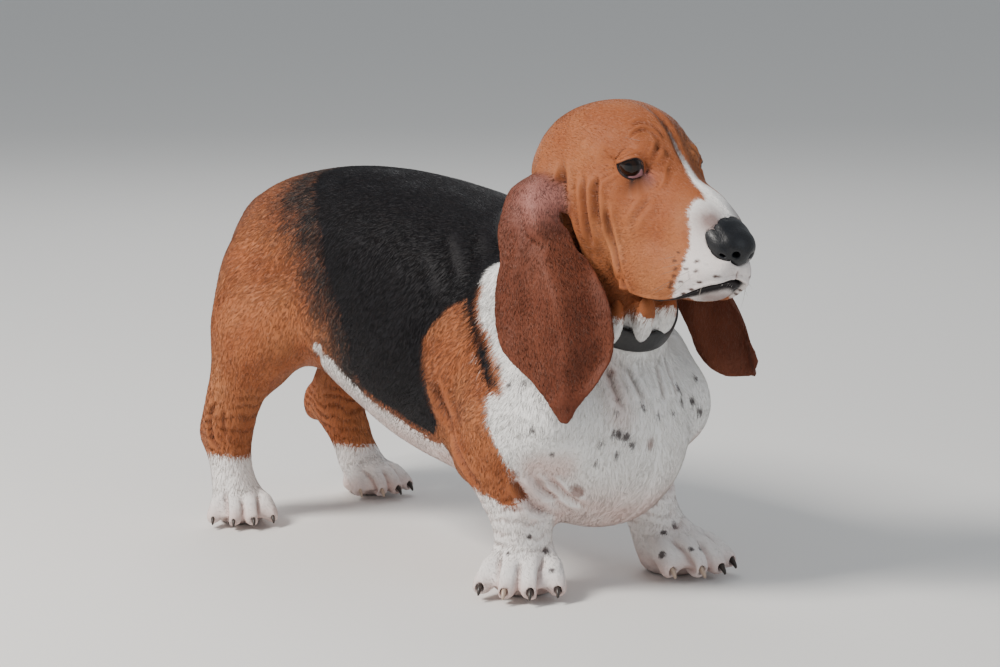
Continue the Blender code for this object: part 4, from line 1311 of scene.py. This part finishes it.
def eyeMaterial():
    made, shader = newMaterial("wetEye", 0.10)
    off = attribute("fromPupil")
    where = objectPlace()
    iris = mixed(noise(where, 1200.0, 2.0), (0.006, 0.003, 0.002), (0.022, 0.009, 0.005))
    white = mixed(noise(where, 300.0, 3.0), (0.010, 0.007, 0.007), (0.040, 0.028, 0.026))
    haw = mixed(noise(where, 420.0, 3.0), (0.240, 0.100, 0.110), (0.420, 0.230, 0.260))
    pupil, ring = eyePlan["pupilRadius"], eyePlan["irisRadius"]
    paint = mixed(((off - pupil) / 0.6).held(), (0.002, 0.002, 0.003), iris)
    paint = mixed(((off - ring + 2.2) / 1.6).held(), paint, (0.006, 0.004, 0.004))
    paint = mixed(((off - ring) / 1.2).held(), paint, white)
    paint = mixed((attribute("haw") / 0.0006).held(), paint, haw)
    feed(shader, "Base Color", paint)
    shader.inputs["Specular IOR Level"].default_value = 0.12
    shader.inputs["Coat Weight"].default_value = 0.35
    shader.inputs["Coat Roughness"].default_value = 0.02
    return made


eyePaint = eyeMaterial()
for sideName in sides:
    deselectAll()
    bpy.ops.mesh.primitive_uv_sphere_add(segments=72, ring_count=48, radius=eyePlan["radius"])
    eye = bpy.context.active_object
    eye.name = "eyeBall_" + sideName
    points = pointsOf(eye) + eyeCentre(sideName)
    flat, reach, front = onEye(points, sideName)
    off = np.hypot(flat[:, 0] * 1000 - eyePlan["iris"][0], flat[:, 1] * 1000 - eyePlan["iris"][1])
    off = np.where(front > 0, off, 20)
    haw = np.where(front > 0, insideOutline(flat, hawOutline), -0.01)
    bulge = 1 + 0.040 * (1 - ease(off, 0.0, eyePlan["irisRadius"])) + 0.045 * ease(haw, -0.0002, 0.0014)
    setPoints(eye, eyeCentre(sideName) + (points - eyeCentre(sideName)) * bulge[:, None])
    putFloat(eye.data, "fromPupil", off)
    putFloat(eye.data, "haw", haw)
    eye.data.shade_smooth()
    eye.data.materials.append(eyePaint)
    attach(eye, "root")
    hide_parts("eye_" + sideName)
print("eyes set")


# Nose

def noseMaterial():
    made, shader = newMaterial("moistNose", 0.36)
    where = objectPlace()
    cells = Value.node("ShaderNodeTexVoronoi", {"feature": "F1"}, Vector=where, Scale=780.0)
    pebble = Value(cells.outputs["Distance"])
    damp = noise(where, 60.0, 3.0)
    paint = mixed((pebble * 1.3).held(), (0.007, 0.009, 0.014), (0.002, 0.002, 0.003))
    feed(shader, "Base Color", paint)
    feed(shader, "Roughness", 0.30 + damp * 0.26)
    feedBump(shader, 1 - pebble, 0.55, 0.0004)
    shader.inputs["Specular IOR Level"].default_value = 0.40
    shader.inputs["Coat Weight"].default_value = 0.10
    shader.inputs["Coat Roughness"].default_value = 0.22
    return made


nose = freeCopy("nose", "noseLeather")
applyModifier(nose, "REMESH", mode="VOXEL", voxel_size=0.0007, adaptivity=0)
points = relaxed(pointsOf(nose), edgesOf(nose), 0.5, 34)
setPoints(nose, points.mean(axis=0) + (points - points.mean(axis=0)) * 1.05)
nose.data.shade_smooth()
nose.data.materials.append(noseMaterial())
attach(nose, "root")
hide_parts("nose")
print("nose made", len(nose.data.polygons))


# Claws keep their CAD solids, rounded

def clawMaterial(name, root, tip):
    made, shader = newMaterial(name, 0.38)
    grain = noise(objectPlace(), 700.0, 3.0)
    feed(shader, "Base Color", mixed(grain, root, tip))
    feedBump(shader, grain, 0.3, 0.0003)
    return made


darkClaw = clawMaterial("darkHorn", (0.020, 0.015, 0.013), (0.060, 0.045, 0.038))
paleClaw = clawMaterial("paleHorn", (0.360, 0.250, 0.180), (0.560, 0.440, 0.350))
clawShare = 0.80  # worn down from the solids
paleOnes = ["claw_fore_left_1", "claw_fore_left_2", "claw_fore_right_2",
            "claw_hind_left_1", "claw_hind_left_2"]
for name in sorted(n for n in nodes if n.startswith("claw_")):
    claw = freeCopy(name, name + "_horn")
    applyModifier(claw, "SUBSURF", levels=2, render_levels=2)
    points = pointsOf(claw)
    top = points[points[:, 2].argmax()]
    setPoints(claw, top + (points - top) * clawShare)
    claw.data.shade_smooth()
    claw.data.materials.append(paleClaw if name in paleOnes else darkClaw)
    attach(claw, "root")
    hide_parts(name)
print("claws rounded")


# Collar: the strap, with scuffed patches of wear

def strapMaterial():
    made, shader = newMaterial("wornStrap", 0.5)
    where = objectPlace()
    grain = noise(where, 260.0, 5.0, 0.6)
    scuff = ((noise(where, 46.0, 4.0, 0.7) - 0.52) * 5.0).held()
    paint = mixed((grain * 1.8 - 0.5).held(), (0.005, 0.005, 0.006), (0.018, 0.017, 0.017))
    feed(shader, "Base Color", mixed(scuff * 0.35, paint, (0.060, 0.052, 0.047)))
    feed(shader, "Roughness", 0.42 + scuff * 0.25)
    feedBump(shader, grain, 0.45, 0.0006)
    return made


strap = freeCopy("collar", "collarStrap")
applyModifier(strap, "SUBSURF", levels=2, render_levels=2)
strap.data.shade_smooth()
strap.data.materials.append(strapMaterial())
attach(strap, "root")
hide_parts("collar")
print("collar made")


# Floor, light and camera

stagePlan = {
    "azimuth": 48.5,
    "elevation": 9.0,
    "distance": 3.0,
    "lens": 114.5,
    "target": (0.1537, -0.0893, 0.2482),
    "floor": (0.80, 0.79, 0.77),
    "worldStrength": 0.42,
}
deselectAll()
bpy.ops.mesh.primitive_plane_add(size=30, location=(0, 0, 0))
floor = bpy.context.active_object
floor.name = "floor"
floorPaint, floorShader = newMaterial("paleFloor", 0.9)
floorShader.inputs["Base Color"].default_value = (*stagePlan["floor"], 1)
floor.data.materials.append(floorPaint)

world = bpy.data.worlds.new("studio")
bpy.context.scene.world = world
world.use_nodes = True
world.node_tree.nodes["Background"].inputs["Color"].default_value = (0.90, 0.95, 1.0, 1)
world.node_tree.nodes["Background"].inputs["Strength"].default_value = stagePlan["worldStrength"]


def addLight(name, place, aim, power, size, colour):
    light = bpy.data.lights.new(name, "AREA")
    light.energy = power
    light.size = size
    light.color = colour
    obj = bpy.data.objects.new(name, light)
    obj.location = place
    obj.rotation_mode = "QUATERNION"
    obj.rotation_quaternion = (Vector(place) - Vector(aim)).to_track_quat("Z", "Y")
    bpy.context.scene.collection.objects.link(obj)


addLight("keyLight", (-0.5, -2.4, 2.4), (0, 0, 0.2), 150, 1.0, (1.0, 0.955, 0.90))
addLight("fillLight", (3.0, 0.6, 1.4), (0, 0, 0.2), 16, 2.0, (0.86, 0.93, 1.0))
addLight("backLight", (-2.2, 1.6, 2.4), (0, 0, 0.2), 26, 1.6, (1.0, 1.0, 1.0))

azimuth, elevation = math.radians(stagePlan["azimuth"]), math.radians(stagePlan["elevation"])
backWay = Vector((math.sin(azimuth) * math.cos(elevation), -math.cos(azimuth) * math.cos(elevation), 0))
backWay.z = math.sin(elevation)
camera = bpy.data.objects.new("camera", bpy.data.cameras.new("camera"))
camera.data.lens = stagePlan["lens"]
camera.data.sensor_width = 36
camera.location = Vector(stagePlan["target"]) + backWay * stagePlan["distance"]
camera.rotation_mode = "QUATERNION"
camera.rotation_quaternion = backWay.to_track_quat("Z", "Y")
bpy.context.scene.collection.objects.link(camera)
bpy.context.scene.camera = camera
print("stage set")
